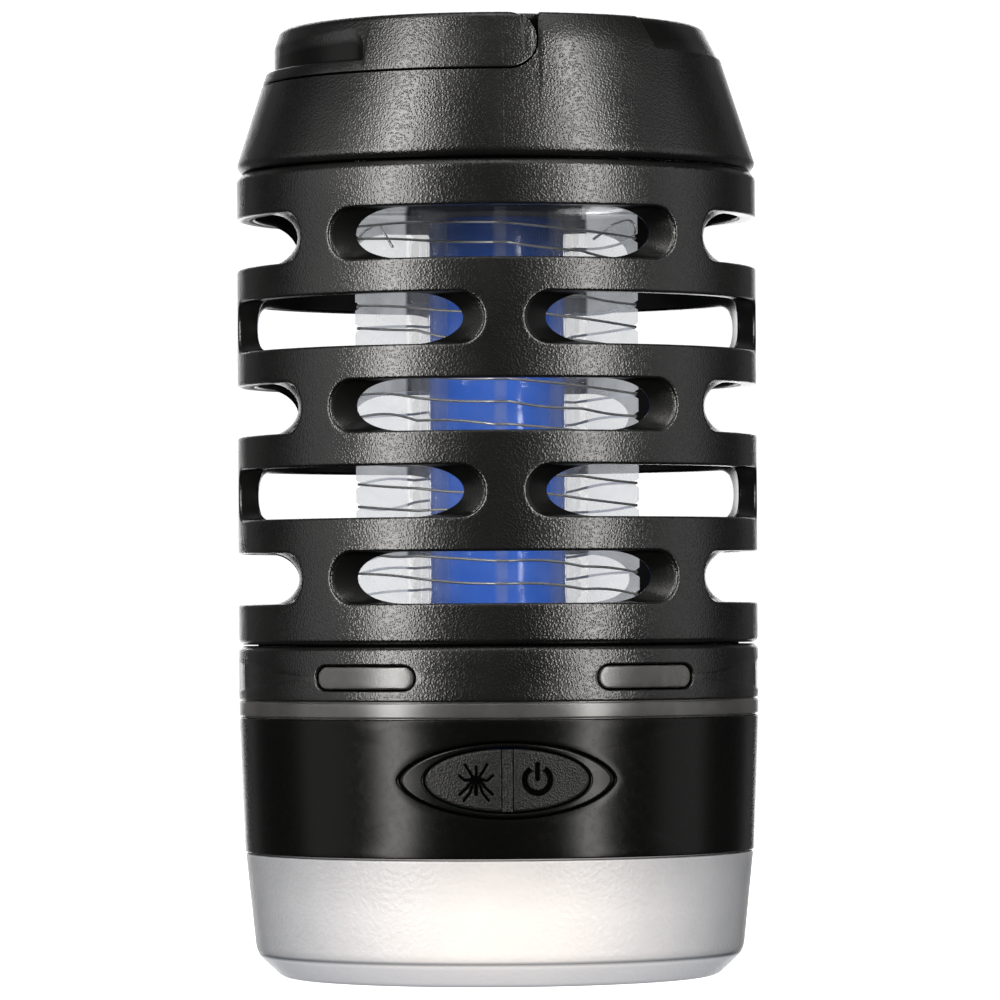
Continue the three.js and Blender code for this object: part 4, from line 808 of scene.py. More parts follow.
# %% Make the lamp cover
LAMP_STEP = 0.15
LAMP_DRAFT = 1.75
LAMP_CHAMFER_WIDTH = 4.4
LAMP_TOP_RADIUS = housing_radius(HOUSING_LOW[2] - SEAM / 2) - LAMP_STEP
LAMP_SIDE_RADIUS = LAMP_TOP_RADIUS - LAMP_DRAFT
LAMP_FOOT_RADIUS = LAMP_SIDE_RADIUS - LAMP_CHAMFER_WIDTH
LAMP_CHAMFER = 4.1
LAMP_WALL = 2.0
LAMP_FIT = 0.3
LAMP_ROUNDINGS = [0, 1.1, 1.6, 0.35, 0.2, 0.3, 0.3, 1, 1, 1, 0]


def lamp_profile():
    """Outer skin from the axis up to the seam, over the spigot and back down inside."""
    seam = HOUSING_LOW[2] - SEAM
    spigot = housing_radius(HOUSING_LOW[2]) - HOUSING_WALL - LAMP_FIT
    corners = [[0, 0], [LAMP_FOOT_RADIUS, 0], [LAMP_SIDE_RADIUS, LAMP_CHAMFER], [LAMP_TOP_RADIUS, seam],
               [spigot, seam], [spigot, LAMP_HIGH[2]], [spigot - LAMP_WALL, LAMP_HIGH[2]],
               [spigot - LAMP_WALL, seam - LAMP_WALL], [LAMP_SIDE_RADIUS - LAMP_WALL, LAMP_CHAMFER + 1],
               [LAMP_FOOT_RADIUS - 1, LAMP_WALL], [0, LAMP_WALL]]
    return rounded(corners, LAMP_ROUNDINGS, 6)


piece("lamp_bowl", [turned(lamp_profile())], "base", "frosted_cover", ["lamp_cover"], 60)

# %% [markdown]
# ## Lid
# The lid is a cone with a deep recess on its left for the handle. It is built from sections: half
# profiles in planes through the axis, one beside the next all the way round. Where the recess ends,
# the sections are cut along planes of one X instead, so that the step is a true flat wall.

# %% Lid helpers
RIM_HEIGHT = GUARD_HIGH[2] + SEAM + GROOVE_REACH
SLOPE_WIDTH = 7.5
TOP_EDGE = 0.6
HANDLE_BOTTOM = HANDLE_LOW[2]
PIVOT_X = 1.0
PIVOT_Z = (HANDLE_LOW[2] + HANDLE_HIGH[2]) / 2
HANDLE_END = (HANDLE_HIGH[2] - HANDLE_LOW[2]) / 2
HANDLE_WIDTH = 2.7
HANDLE_GAP = 0.5
HANDLE_INNER = BODY_RADIUS - SLOPE_WIDTH - HANDLE_WIDTH
HANDLE_SEAT = HANDLE_INNER - HANDLE_GAP
RECESS_END = HANDLE_END + SEAM
POCKET_FLOOR = TOP - 5.5
POCKET_DEPTH = 1.3
POCKET_LEDGE = 0.4
POCKET_ROUNDING = 0.8
POCKET_AZIMUTH = 90.0
POCKET_HALF_ANGLE = 52.0
POCKET_SLANT = 4.4
POCKET_SLANT_REACH = 9.0


def cone_radius(height):
    """Outer radius of the lid's cone at a height."""
    return BODY_RADIUS - SLOPE_WIDTH * (height - RIM_HEIGHT) / (TOP - RIM_HEIGHT)


def plane_azimuth(x, radius):
    """Azimuth at which a circle meets the plane of one X, at the front: arcsin(x / r)."""
    return np.degrees(np.arcsin(np.clip(x / np.maximum(radius, 1e-6), -1, 1)))


def swing(radius, x, share, rear):
    """Azimuths between the plane of one X at the front (share 0) and at the rear (share 1).

    rear is 180 to go round the right side and -180 to go round the left.
    """
    front = plane_azimuth(x, radius)
    return front + (rear - 2 * front) * share


def section_corners(pairs, count):
    """(radius, height) pairs, each a number or one value per section, as a (count, corners, 2) array."""
    return np.stack([np.stack([np.broadcast_to(part, count) for part in pair], -1) for pair in pairs], axis=1)


# %% Make the lid
LID_WALL = 2.6
LID_SECTIONS = 150
END_SECTIONS = 12
STEP_EDGE = 0.25
STEP_AZIMUTH = 9.0
TOP_EDGE_SLOPE = 1.15
LID_FIT = 1.0
LINE_HEIGHT = 0.06
# Degrees from each end of the pocket at which extra sections stand, close together at the bend.
POCKET_STATIONS = np.array(
    [-1.6, -0.9, -0.8, -0.75, -0.65, -0.5, -0.3, 0, 0.3, 0.5, 0.65, 0.75, 0.8, 0.9, 1.6])
LID_ROUNDINGS = [0, 1, 1, 1, 1, 0.2, 0.3, 1.0, 0, 0, 0.3, 0.3, 0.45, 0]


def lid_sections():
    """Six rows, one value per section: X, share, side, floor of the recess, 1 in the recess, and inset."""
    wall_x = PIVOT_X + RECESS_END
    even = np.linspace(0, 1, LID_SECTIONS + 1)
    ends = POCKET_AZIMUTH + POCKET_HALF_ANGLE * np.array([[-1], [1]])
    fine = (ends + POCKET_STATIONS - STEP_AZIMUTH) / (180 - 2 * STEP_AZIMUTH)
    right = np.sort(np.concatenate([even, fine.ravel()]))
    turn = np.radians(np.linspace(90, 0, END_SECTIONS))
    end_x = PIVOT_X + RECESS_END * np.sin(turn)
    end_floor = PIVOT_Z - RECESS_END * np.cos(turn)
    no_floor = TOP - TOP_EDGE
    stretches = [
        (wall_x, [0], 180, no_floor, 0, STEP_EDGE),
        (wall_x + STEP_EDGE, right, 180, no_floor, 0, 0),
        (wall_x, [1], 180, no_floor, 0, STEP_EDGE),
        (end_x, 1, 180, end_floor, 1, 0),
        (PIVOT_X, even[-2:0:-1], -180, PIVOT_Z - RECESS_END, 1, 0),
        (end_x[::-1], 0, 180, end_floor[::-1], 1, 0),
    ]
    return np.concatenate([np.stack(np.broadcast_arrays(*stretch)) for stretch in stretches], axis=1)


def lid_grids():
    """The lid's sections, rounded at their corners, placed side by side round the axis.

    The pocket for a fingertip dips by 1 - sqrt(1 - t^2) at its ends, and its ends lean sideways.
    """
    x, share, rear, floor, recess, inset = lid_sections()
    on_right = (recess == 0) & (rear > 0)
    azimuth = swing(cone_radius(POCKET_FLOOR), x, share, rear)
    into = np.clip((POCKET_HALF_ANGLE - np.abs(azimuth - POCKET_AZIMUTH)) / POCKET_ROUNDING, 0, 1)
    in_pocket = (1 - np.sqrt(1 - into ** 2)) * on_right
    dip = POCKET_DEPTH * in_pocket * (TOP - TOP_EDGE - POCKET_FLOOR) / (TOP - POCKET_FLOOR)
    ceiling = TOP - LID_WALL
    cavity = HANDLE_SEAT - LID_WALL
    shoulder = HANDLE_BOTTOM - SEAM - LID_WALL
    rim_inner = BODY_RADIUS - GUARD_WALL - LID_FIT
    low = LID_LOW[2]
    line = np.minimum(POCKET_FLOOR, floor)
    edge = cone_radius(floor) - dip - inset
    corners = section_corners([
        (0, ceiling), (cavity, ceiling), (cavity, shoulder),
        (cone_radius(shoulder) - 2 * LID_WALL, shoulder), (rim_inner, RIM_HEIGHT), (rim_inner, low),
        (BODY_RADIUS - GROOVE_DEPTH, low), (BODY_RADIUS, RIM_HEIGHT), (cone_radius(line), line),
        (cone_radius(line) - POCKET_LEDGE * in_pocket, line + LINE_HEIGHT * in_pocket),
        (edge, floor),
        (np.where(recess > 0, HANDLE_SEAT, edge), floor),
        (np.where(recess > 0, HANDLE_SEAT, edge - TOP_EDGE * TOP_EDGE_SLOPE), TOP - inset),
        (0, TOP)], len(x))
    profile = rounded(corners, LID_ROUNDINGS, 4)
    radius, height = profile[..., 0], profile[..., 1]
    azimuth = swing(radius, x[:, None], share[:, None], rear[:, None])
    rise = np.clip((height - POCKET_FLOOR) / (TOP - POCKET_FLOOR), -3, 1)
    rise = np.where(rise > 0, 1 - rise, 1 + rise / 3)
    for side in (-1, 1):
        end = POCKET_AZIMUTH + side * POCKET_HALF_ANGLE
        near = np.exp(-((azimuth - end) / POCKET_SLANT_REACH) ** 2) * on_right[:, None]
        azimuth = azimuth - side * POCKET_SLANT * rise * near
    points = around(radius, azimuth, height)
    return [(np.concatenate([points, points[:1]]).transpose(1, 0, 2), False)]


piece("lid_shell", lid_grids(), "guard", "textured_black", ["lid"])

# %% [markdown]
# ## Carry handle
# The handle is a half hoop that lies in the lid's recess and swings up about two steel pins. Its
# left side is scooped out for a fingertip: the scoop has a ledge, a smooth wall behind it, and a
# hollow fillet at each end. The same sections as the lid's make it, with two more corners for the
# ledge.

# %% Make the handle
SCOOP_FLOOR = TOP - 7.4
SCOOP_WALL = BODY_RADIUS - SLOPE_WIDTH + 0.1
SCOOP_SHIFT = 0.9
SCOOP_HALF_ANGLE = 54.0
SCOOP_FILLET = 6.0
HANDLE_SECTIONS = 220
HANDLE_END_SECTIONS = 16
HANDLE_ROUNDINGS = [0, 0.5, 0.4, 0.3, 0.5, 0.3, 0.3, 0.4, 0.5, 0]


def scoop_radius(azimuth):
    """Distance from the axis to the scoop's wall, a cylinder of radius R shifted left by s.

    It is a + sqrt(a^2 + R^2 - s^2), where a is the shift's share of that direction.
    """
    angle = np.radians(azimuth)
    along = -SCOOP_SHIFT * np.sin(angle)
    return along + np.sqrt(along ** 2 + SCOOP_WALL ** 2 - SCOOP_SHIFT ** 2)


def handle_grids():
    """Sections with eight corners from one rounded end to the other, the ends being half circles."""
    turn = np.radians(np.linspace(90, 0, HANDLE_END_SECTIONS))
    end_x, end_half = PIVOT_X + HANDLE_END * np.sin(turn), HANDLE_END * np.cos(turn)
    even = np.linspace(0, 1, HANDLE_SECTIONS + 2)[1:-1]
    stretches = [(end_x, 0, 180, end_half), (PIVOT_X, even, -180, HANDLE_END),
                 (end_x[::-1], 1, 180, end_half[::-1])]
    rows = [np.stack(np.broadcast_arrays(*stretch)) for stretch in stretches]
    x, share, rear, half = np.concatenate(rows, axis=1)
    low, high = PIVOT_Z - half, PIVOT_Z + half
    azimuth = swing(cone_radius(SCOOP_FLOOR), x, share, rear)
    into = np.clip((SCOOP_HALF_ANGLE - np.abs(azimuth + 90)) / SCOOP_FILLET, 0, 1)
    depth = np.where(rear > 0, 0, np.sqrt(1 - (1 - into) ** 2))
    ledge = np.clip(SCOOP_FLOOR, low, high)
    face = cone_radius(ledge)
    wall = face + (np.minimum(scoop_radius(azimuth), face) - face) * depth
    meet = np.clip(RIM_HEIGHT + (BODY_RADIUS - wall) * (TOP - RIM_HEIGHT) / SLOPE_WIDTH, ledge, high)
    lip = np.maximum(np.minimum(TOP - TOP_EDGE, high), meet)
    bevel = np.where(high > TOP - TOP_EDGE, TOP_EDGE * TOP_EDGE_SLOPE, 0)
    middle = (low + high) / 2
    corners = section_corners([
        (HANDLE_INNER, middle), (HANDLE_INNER, low), (cone_radius(low), low), (face, ledge), (wall, ledge),
        (wall, meet), (cone_radius(lip), lip), (cone_radius(lip) - bevel, high), (HANDLE_INNER, high),
        (HANDLE_INNER, middle)], len(x))
    profile = rounded(corners, HANDLE_ROUNDINGS, 4)
    radius, height = profile[..., 0], profile[..., 1]
    azimuth = swing(radius, x[:, None], share[:, None], rear[:, None])
    return [(around(radius, azimuth, height).transpose(1, 0, 2), False)]


piece("handle_bar", handle_grids(), "handle", "textured_black", ["carry_handle"])

# %% [markdown]
# ## Clear cage
# Eight clear fins stand round a sleeve, four long and four short. V-notches in their edges hold the
# wires. A flange at the bottom and a disc at the top close the cage. Each fin is a flat outline
# given its thickness with a small chamfer all round, since moulded edges catch a line of light.

# %% Make the cage
FIN_RADIUS = CAGE_HIGH[0]
SMALL_FIN_RADIUS = 20.0
FIN_THICKNESS = 1.9
NOTCH_DEPTH = 1.1
NOTCH_HEIGHT = 1.6
NOTCH_FLAT = 0.12
NOTCH_FLOOR = 0.1
FIN_CHAMFER = 0.22
FIN_ROOT_LAP = 0.05
FIN_FOOT_GAP = 0.02
SLEEVE_INNER = 11.9
SLEEVE_OUTER = 13.1
CAGE_BOTTOM, CAGE_TOP = CAGE_LOW[2], CAGE_HIGH[2]
CAGE_FLANGE = (21.5, 2.0)  # radius and thickness
CAGE_EDGE = 0.3
CAGE_STEPS = 96
CAGE_SHARP = 30
WIRE_LEAD = 7.57
WIRE_SPACING = WIRE_LEAD / 2
WIRE_TOP = CAGE_TOP - 4
WIRE_END_MARGIN = 6.0


def notch_heights(turn):
    """Heights of the notches on the fin `turn` degrees on from the left side."""
    first = WIRE_TOP - turn / 360 * WIRE_LEAD + 2 * WIRE_SPACING
    heights = first - WIRE_SPACING * np.arange(60)
    return heights[(heights > CAGE_BOTTOM + WIRE_END_MARGIN) & (heights < CAGE_TOP - NOTCH_HEIGHT)][::-1]


def fin_grids(reach, turn):
    """A strip of quads between the root line and the notched edge, on both faces, joined round the rim."""
    heights = notch_heights(turn)
    levels = [CAGE_BOTTOM + FIN_FOOT_GAP]
    edge = [reach]
    deep = reach - NOTCH_DEPTH + NOTCH_FLOOR
    for height in heights:
        levels += [height + step for step in
                   (-NOTCH_HEIGHT / 2, -NOTCH_FLAT, NOTCH_FLAT, NOTCH_HEIGHT / 2)]
        edge += [reach, deep, deep, reach]
    levels, edge = np.array(levels + [CAGE_TOP]), np.array(edge + [reach])
    root = SLEEVE_OUTER - FIN_ROOT_LAP
    half, chamfer = FIN_THICKNESS / 2, FIN_CHAMFER
    # Each column of the outline: 1 at the notched edge or 0 at the root, half width, share of chamfer.
    columns = [(0.0, half - chamfer, 0.0), (0.0, half, 1.0), (1.0, half, 1.0), (1.0, half - chamfer, 0.0)]
    turn_to = math.radians(turn - 90)
    out = np.array([math.sin(turn_to), -math.cos(turn_to)])
    side = np.array([-out[1], out[0]])
    loop = []
    for sign in (1, -1):
        for position, width, pulled in (columns if sign > 0 else columns[::-1]):
            radius = np.where(position > 0, edge - chamfer * pulled, root)
            plan = out[None, :] * radius[:, None] + side[None, :] * sign * width
            loop.append(np.concatenate([plan, levels[:, None]], axis=1))
    loop = np.array(loop).transpose(1, 0, 2)
    ends = [np.broadcast_to(row.mean(axis=0), row.shape) for row in (loop[0], loop[-1])]
    return [(np.concatenate([ends[:1], loop, ends[1:]]), True)]


sleeve = [[SLEEVE_INNER, CAGE_TOP], [SLEEVE_INNER, CAGE_BOTTOM], [CAGE_FLANGE[0], CAGE_BOTTOM],
          [CAGE_FLANGE[0], CAGE_BOTTOM + CAGE_FLANGE[1]], [SLEEVE_OUTER, CAGE_BOTTOM + CAGE_FLANGE[1]],
          [SLEEVE_OUTER, CAGE_TOP], [SLEEVE_INNER, CAGE_TOP]]
cage_grids = [turned(rounded(sleeve, CAGE_EDGE), CAGE_STEPS)]
for index in range(8):
    cage_grids += fin_grids(FIN_RADIUS if index % 2 == 0 else SMALL_FIN_RADIUS, 45 * index)
piece("cage_clear", cage_grids, "base", "clear_plastic", ["cage_frame"], CAGE_SHARP)

CAP_LOW, CAP_HIGH = box_mm("cage_cap")
CAP_EDGE = 0.4
cap_profile = [[0, CAP_LOW[2]], [CAP_HIGH[0], CAP_LOW[2]], [CAP_HIGH[0], CAP_HIGH[2]], [0, CAP_HIGH[2]]]
piece("cage_disc", [turned(rounded(cap_profile, CAP_EDGE), 128)], "base", "clear_plastic", ["cage_cap"])

# %% [markdown]
# ## Blue core
# A blue-tinted tube with a rounded shoulder stands in the sleeve and hides the ultraviolet diodes.

# %% Make the core
CORE_LOW, CORE_HIGH = box_mm("uv_core")
CORE_RADIUS = CORE_HIGH[0]
CORE_ROOF = CORE_HIGH[2] - 1.6
CORE_ROUNDINGS = [0, 1.2, 0.3, 0.3, 2.2, 0]
core_profile = [[0, CORE_ROOF], [CORE_INNER, CORE_ROOF], [CORE_INNER, CORE_LOW[2]],
                [CORE_RADIUS, CORE_LOW[2]], [CORE_RADIUS, CORE_HIGH[2]], [0, CORE_HIGH[2]]]
piece("core_tube", [turned(rounded(core_profile, CORE_ROUNDINGS, 6), CAGE_STEPS)], "base", "core_blue",
      ["uv_core"], 60)

# %% [markdown]
# ## Grid wires
# Two steel wires wind down the cage half a turn apart, lying in the notches. Wound by hand, they are
# never quite straight between two fins, so each span bows a little up or down. The wire is a circle
# carried along that path. Each one's top end is bent over its fin and nipped off.

# %% Make the wires
WIRE_RADIUS = 0.23
WIRE_SIDES = 10
WIRE_SEAT = 0.65
SPAN_STEPS = 7
BOW = 0.42  # spread of how far a span bows, in mm
SHORTEST_BOWED = 4.0
CORNER_ASIDE = 0.35
WIRE_HALF_TURNS = int((WIRE_TOP - CAGE_BOTTOM - WIRE_END_MARGIN) // WIRE_SPACING)
bow_source = np.random.default_rng(7)


def wire_path(strand):
    """Points along one wire: corners at every fin, and spans between them that bow by b sin(pi s)."""
    stops = np.arange(WIRE_HALF_TURNS * 4 + 1)
    turn = 45.0 * stops
    main = stops % 2 == 0
    radius = np.where(main, FIN_RADIUS, SMALL_FIN_RADIUS) - NOTCH_DEPTH + WIRE_SEAT
    height = WIRE_TOP - turn / 360 * WIRE_LEAD
    half = FIN_THICKNESS / 2 + CORNER_ASIDE
    corners = []
    for stop in stops:
        for step in ((-half, half) if main[stop] else (0.0,)):
            azimuth = turn[stop] + strand * 180 - 90
            base = around(radius[stop], azimuth, height[stop])
            angle = math.radians(azimuth)
            corners.append(base + step * np.array([math.cos(angle), math.sin(angle), 0]))
    corners = np.array(corners)
    bow = bow_source.normal(0, BOW, len(corners) - 1)
    length = np.linalg.norm(np.diff(corners, axis=0), axis=1)
    share = np.arange(SPAN_STEPS) / SPAN_STEPS
    spans = corners[:-1, None] + (corners[1:] - corners[:-1])[:, None] * share[None, :, None]
    spans[..., 2] += bow[:, None] * np.sin(np.pi * share)[None, :] * (length > SHORTEST_BOWED)[:, None]
    return np.concatenate([spans.reshape(-1, 3), corners[-1:]])


def tube(path):
    """A circle carried along a path: p + r (cos t across + sin t over), across being square to Z."""
    tangent = np.gradient(path, axis=0)
    tangent /= np.linalg.norm(tangent, axis=1, keepdims=True)
    steep = np.abs(tangent[:, 2:]) > 0.9
    across = np.cross(tangent, np.where(steep, [1.0, 0.0, 0.0], [0.0, 0.0, 1.0]))
    across /= np.linalg.norm(across, axis=1, keepdims=True)
    over = np.cross(across, tangent)
    turn = (np.arange(WIRE_SIDES) * 2 * np.pi / WIRE_SIDES)[None, :, None]
    grid = path[:, None] + WIRE_RADIUS * (np.cos(turn) * across[:, None] + np.sin(turn) * over[:, None])
    ends = [np.broadcast_to(path[i], (WIRE_SIDES, 3)) for i in (0, -1)]
    return np.concatenate([ends[:1], grid, ends[1:]]), True


def smooth_path(points, steps=8):
    """A Catmull-Rom curve through the points."""
    points = np.asarray(points, float)
    padded = np.concatenate([points[:1], points, points[-1:]])
    share = (np.arange(steps) / steps)[None, :, None]
    a, b, c, d = (padded[i:len(padded) - 3 + i][:, None] for i in range(4))
    curve = 0.5 * (2 * b + (c - a) * share + (2 * a - 5 * b + 4 * c - d) * share ** 2
                   + (3 * b - a - 3 * c + d) * share ** 3)
    return np.concatenate([curve.reshape(-1, 3), points[-1:]])


tail_a = [(-23.2, -0.9, 125.0), (-22.6, -1.7, 126.0), (-20.4, -1.9, 127.2), (-19.5, -0.9, 127.0),
          (-19.2, -1.6, 126.2), (-17.6, -2.4, 123.4)]
tail_b = [(23.2, -1.0, 124.8), (23.6, -1.7, 126.6), (22.4, -2.0, 127.9), (20.4, -1.8, 127.4),
          (19.5, -0.9, 127.0), (18.6, -1.9, 126.2), (16.4, -2.6, 124.6)]
first_crossing = [(-23.55, -1.2, 127.0), (-14.4, -14.4, 126.9), (-1.1, -24.3, 126.3), (1.1, -24.3, 126.2),
                  (14.4, -14.4, 125.4), (23.55, -1.2, 124.9)]
for strand, extras in enumerate([[tail_a], [tail_b, first_crossing]]):
    letter = "ab"[strand]
    tubes = [tube(wire_path(strand))] + [tube(smooth_path(extra)) for extra in extras]
    piece(f"wire_{letter}", tubes, "base", "bright_steel", [f"grid_wire_{letter}"], 80)

# %% [markdown]
# ## Materials
# Each finish starts from what the real one is and how its surface was made. One small function adds
# a node with its settings and links. Patterns read Object coordinates, which are metres here, so a
# pattern's scale is one over its real size. Colours are written as sRGB hex values and turned to the
# linear values that shading needs.

# %% Material helpers
def linear(hex_colour):
    """sRGB hex to linear RGBA: c / 12.92 in the dark part, ((c + 0.055) / 1.055)^2.4 above it."""
    parts = np.array([int(hex_colour[i:i + 2], 16) for i in (1, 3, 5)]) / 255
    return (*np.where(parts <= 0.04045, parts / 12.92, ((parts + 0.055) / 1.055) ** 2.4), 1.0)


def node(tree, kind, inputs=(), **settings):
    """Adds a node. A node or a socket is linked to its input, a hex colour or a number is set on it.

    A list fills the inputs in order, which for Map Range are the value, the range it is moved from and
    the range it is moved to. A node stands for the first of its outputs that is in use.
    """
    made = tree.nodes.new("ShaderNode" + kind)
    for key, value in settings.items():
        setattr(made, key, value)
    for key, value in inputs.items() if isinstance(inputs, dict) else enumerate(inputs):
        if isinstance(value, bpy.types.Node):
            value = next(socket for socket in value.outputs if socket.enabled)
        if isinstance(value, bpy.types.NodeSocket):
            tree.links.new(value, made.inputs[key])
        else:
            made.inputs[key].default_value = linear(value) if isinstance(value, str) else value
    return made


def per_mm(size):
    """Texture scale for a pattern of one size in millimetres, in Object coordinates."""
    return 1 / (size * MM)


def finish(name, recipe, *details):
    """A material from a recipe, a function that adds the nodes and returns the last one."""
    material = bpy.data.materials.new(name)
    material.use_nodes = True
    tree = material.node_tree
    tree.nodes.clear()
    place = node(tree, "TexCoord").outputs["Object"]
    node(tree, "OutputMaterial", [recipe(tree, place, *details)])
    return material


FINISHES = {}

# %% [markdown]
# ### Grained black ABS
# The guard, lid, handle and collar are ABS moulded in a tool that was spark-eroded to a fine leather
# grain: low pebbles about 0.4 mm across. The grain scatters the highlight into sparkling specks, so it
# is bump and not just a higher roughness. The faces cut into the wall come from plain steel and are
# smoother, and their reflection is turned down as painted shade, which darkens the openings' walls,
# the scoop and the pocket. The tool's halves leave a faint line up the middle, and handling has
# polished the skin a little in soft patches.

# %% Grained black ABS
PEBBLE = 0.42
POLISHED_PATCH = 14
CUT_MARGIN = 0.0004
CUT_FADE = 0.0003
TOP_FADE = (0.0005, 0.0011)
PARTING_WIDTH = 0.00015
PARTING_START = (GUARD_HIGH[2] - 8) * MM
PARTING_FADE = 0.001


def grained_abs(tree, place):
    """Bump from a field of low domes with the parting line, and a mask for what lies inside the skin."""
    x, y, z = node(tree, "SeparateXYZ", [place]).outputs
    radius = node(tree, "VectorMath", [node(tree, "CombineXYZ", [x, y])], operation="LENGTH").outputs["Value"]
    skin = node(tree, "MapRange", [
        z, RIM_HEIGHT * MM, TOP * MM, BODY_RADIUS * MM, (BODY_RADIUS - SLOPE_WIDTH) * MM])
    sunk = node(tree, "Math", [skin, radius], operation="SUBTRACT")
    inside = node(tree, "Math", [
        node(tree, "MapRange", [sunk, CUT_MARGIN, CUT_MARGIN + CUT_FADE]),
        node(tree, "MapRange", [z, TOP * MM - TOP_FADE[0], TOP * MM - TOP_FADE[1]])], operation="MULTIPLY")
    aside = node(tree, "Math", [x], operation="ABSOLUTE")
    line = node(tree, "Math", [
        node(tree, "MapRange", [aside, PARTING_WIDTH, 0, 0, 0.3]),
        node(tree, "MapRange", [z, PARTING_START, PARTING_START + PARTING_FADE])], operation="MULTIPLY")
    pebbles = node(tree, "TexVoronoi", {"Vector": place, "Scale": per_mm(PEBBLE)})
    domes = node(tree, "MapRange", [pebbles, 0.1, 0.6, 1, 0])
    bump = node(tree, "Bump", {
        "Height": node(tree, "Math", [domes, line], operation="ADD"),
        "Strength": node(tree, "MapRange", [inside, 0, 1, 0.42, 0.12]), "Distance": 0.00007})
    broad = node(tree, "TexNoise", {"Vector": place, "Scale": per_mm(POLISHED_PATCH), "Detail": 3.0})
    patch = node(tree, "MapRange", [broad, 0.35, 0.65])
    return node(tree, "BsdfPrincipled", {
        "Base Color": node(tree, "Mix", {"Factor": patch, "A": "#0c0c0c", "B": "#121211"}, data_type="RGBA"),
        "Roughness": node(tree, "MapRange", [broad, 0.3, 0.7, 0.27, 0.33]), "Normal": bump, "IOR": 1.53,
        # Painted shade: faces sunk below the skin reflect at 0.24 instead of 0.85, which darkens the
        # recesses.
        "Specular IOR Level": node(tree, "MapRange", [inside, 0, 1, 0.85, 0.24])})


FINISHES["textured_black"] = finish("abs_black_leather_grain", grained_abs)

# %% [markdown]
# ### Polished black ABS
# The base and the bezel come from a polished tool: a smooth, nearly glossy skin. What keeps it from
# looking like glass is a very shallow unevenness as the plastic shrank, and faint hairline rubbing,
# drawn 1.2 mm across because real hairlines are too fine to show.

# %% Polished black ABS
def polished_abs(tree, place):
    """Broad shallow waves as bump, and a roughness that varies with fine rubbing."""
    sink = node(tree, "TexNoise", {"Vector": place, "Scale": per_mm(18), "Detail": 1.0})
    rub = node(tree, "TexNoise", {"Vector": place, "Scale": per_mm(1.2), "Detail": 4.0})
    return node(tree, "BsdfPrincipled", {
        "Base Color": node(tree, "Mix", {"Factor": sink, "A": "#070707", "B": "#0c0c0a"}, data_type="RGBA"),
        "Roughness": node(tree, "MapRange", [rub, 0.3, 0.7, 0.24, 0.29]), "IOR": 1.53,
        "Normal": node(tree, "Bump", {"Height": sink, "Strength": 0.12, "Distance": 0.0004}),
        "Specular IOR Level": 0.22})


FINISHES["satin_black"] = finish("abs_black_polished", polished_abs)

# %% [markdown]
# ### Black silicone rubber
# The buttons and the port flap are moulded rubber with a fine matt skin. It has a soft sheen at a low
# angle and very fine pores, about 0.1 mm on real rubber and 0.3 mm here so that they show.

# %% Black silicone rubber
def black_rubber(tree, place):
    """Fine pores over a matt black, with painted shade inside the sunk signs: near-black and hardly
    reflecting.
    """
    pores = node(tree, "TexVoronoi", {"Vector": place, "Scale": per_mm(0.3)})
    cloud = node(tree, "TexNoise", {"Vector": place, "Scale": per_mm(5), "Detail": 3.0})
    sunk = node(tree, "Attribute", attribute_name="sunk").outputs["Fac"]
    skin = node(tree, "Mix", {"Factor": cloud, "A": "#121212", "B": "#1b1b1a"}, data_type="RGBA")
    return node(tree, "BsdfPrincipled", {
        # Painted shade inside the sunk signs: colour #010101 and a reflection of 0.02.
        "Base Color": node(tree, "Mix", {"Factor": sunk, "A": skin, "B": "#010101"}, data_type="RGBA"),
        "Roughness": 0.45, "Specular IOR Level": node(tree, "MapRange", [sunk, 0, 1, 0.45, 0.02]),
        "Normal": node(tree, "Bump", {"Height": pores, "Strength": 0.7, "Distance": 0.00012})})


FINISHES["black_rubber"] = finish("silicone_black_matt", black_rubber)

# %% [markdown]
# ### Smoke-grey translucent polycarbonate
# The ring and the window lenses are tinted plastic, a little milky. Light that enters it comes out
# nearby, so it has some subsurface scattering under a smooth skin.

# %% Smoke-grey plastic
def smoke_grey(tree, place):
    """Two close greys in soft clouds 3 mm across, under a skin with a grain of 0.35 mm."""
    cloud = node(tree, "TexNoise", {"Vector": place, "Scale": per_mm(3), "Detail": 3.0})
    grain = node(tree, "TexNoise", {"Vector": place, "Scale": per_mm(0.35), "Detail": 2.0})
    milky = node(tree, "MapRange", [cloud, 0.35, 0.65])
    return node(tree, "BsdfPrincipled", {
        "Base Color": node(tree, "Mix", {"Factor": milky, "A": "#4a4a48", "B": "#585755"}, data_type="RGBA"),
        "Roughness": 0.3, "IOR": 1.58, "Specular IOR Level": 0.9,
        "Normal": node(tree, "Bump", {"Height": grain, "Strength": 0.25, "Distance": 0.00005}),
        "Subsurface Weight": 0.5, "Subsurface Radius": (0.6, 0.6, 0.6), "Subsurface Scale": 0.002})


FINISHES["smoke_grey"] = finish("polycarbonate_smoke_tinted", smoke_grey)

# %% [markdown]
# ### Frosted opal polycarbonate
# The lamp's bowl is opal plastic frosted on the outside. It scatters the diodes' light, so it glows
# warmly low down, where most light lands, and stays cooler just under the base. Its glow is painted
# weaker and less warm where the bowl turns away from the camera, as painted shade, and a thin line of
# painted shade, darker in colour and glow, lies along the crease above the chamfer.

# %% Frosted opal plastic
CREASE_HEIGHT = 0.0040
CREASE_REACH = 0.0005
GLOW_SPAN = (0.0205, 0.012)


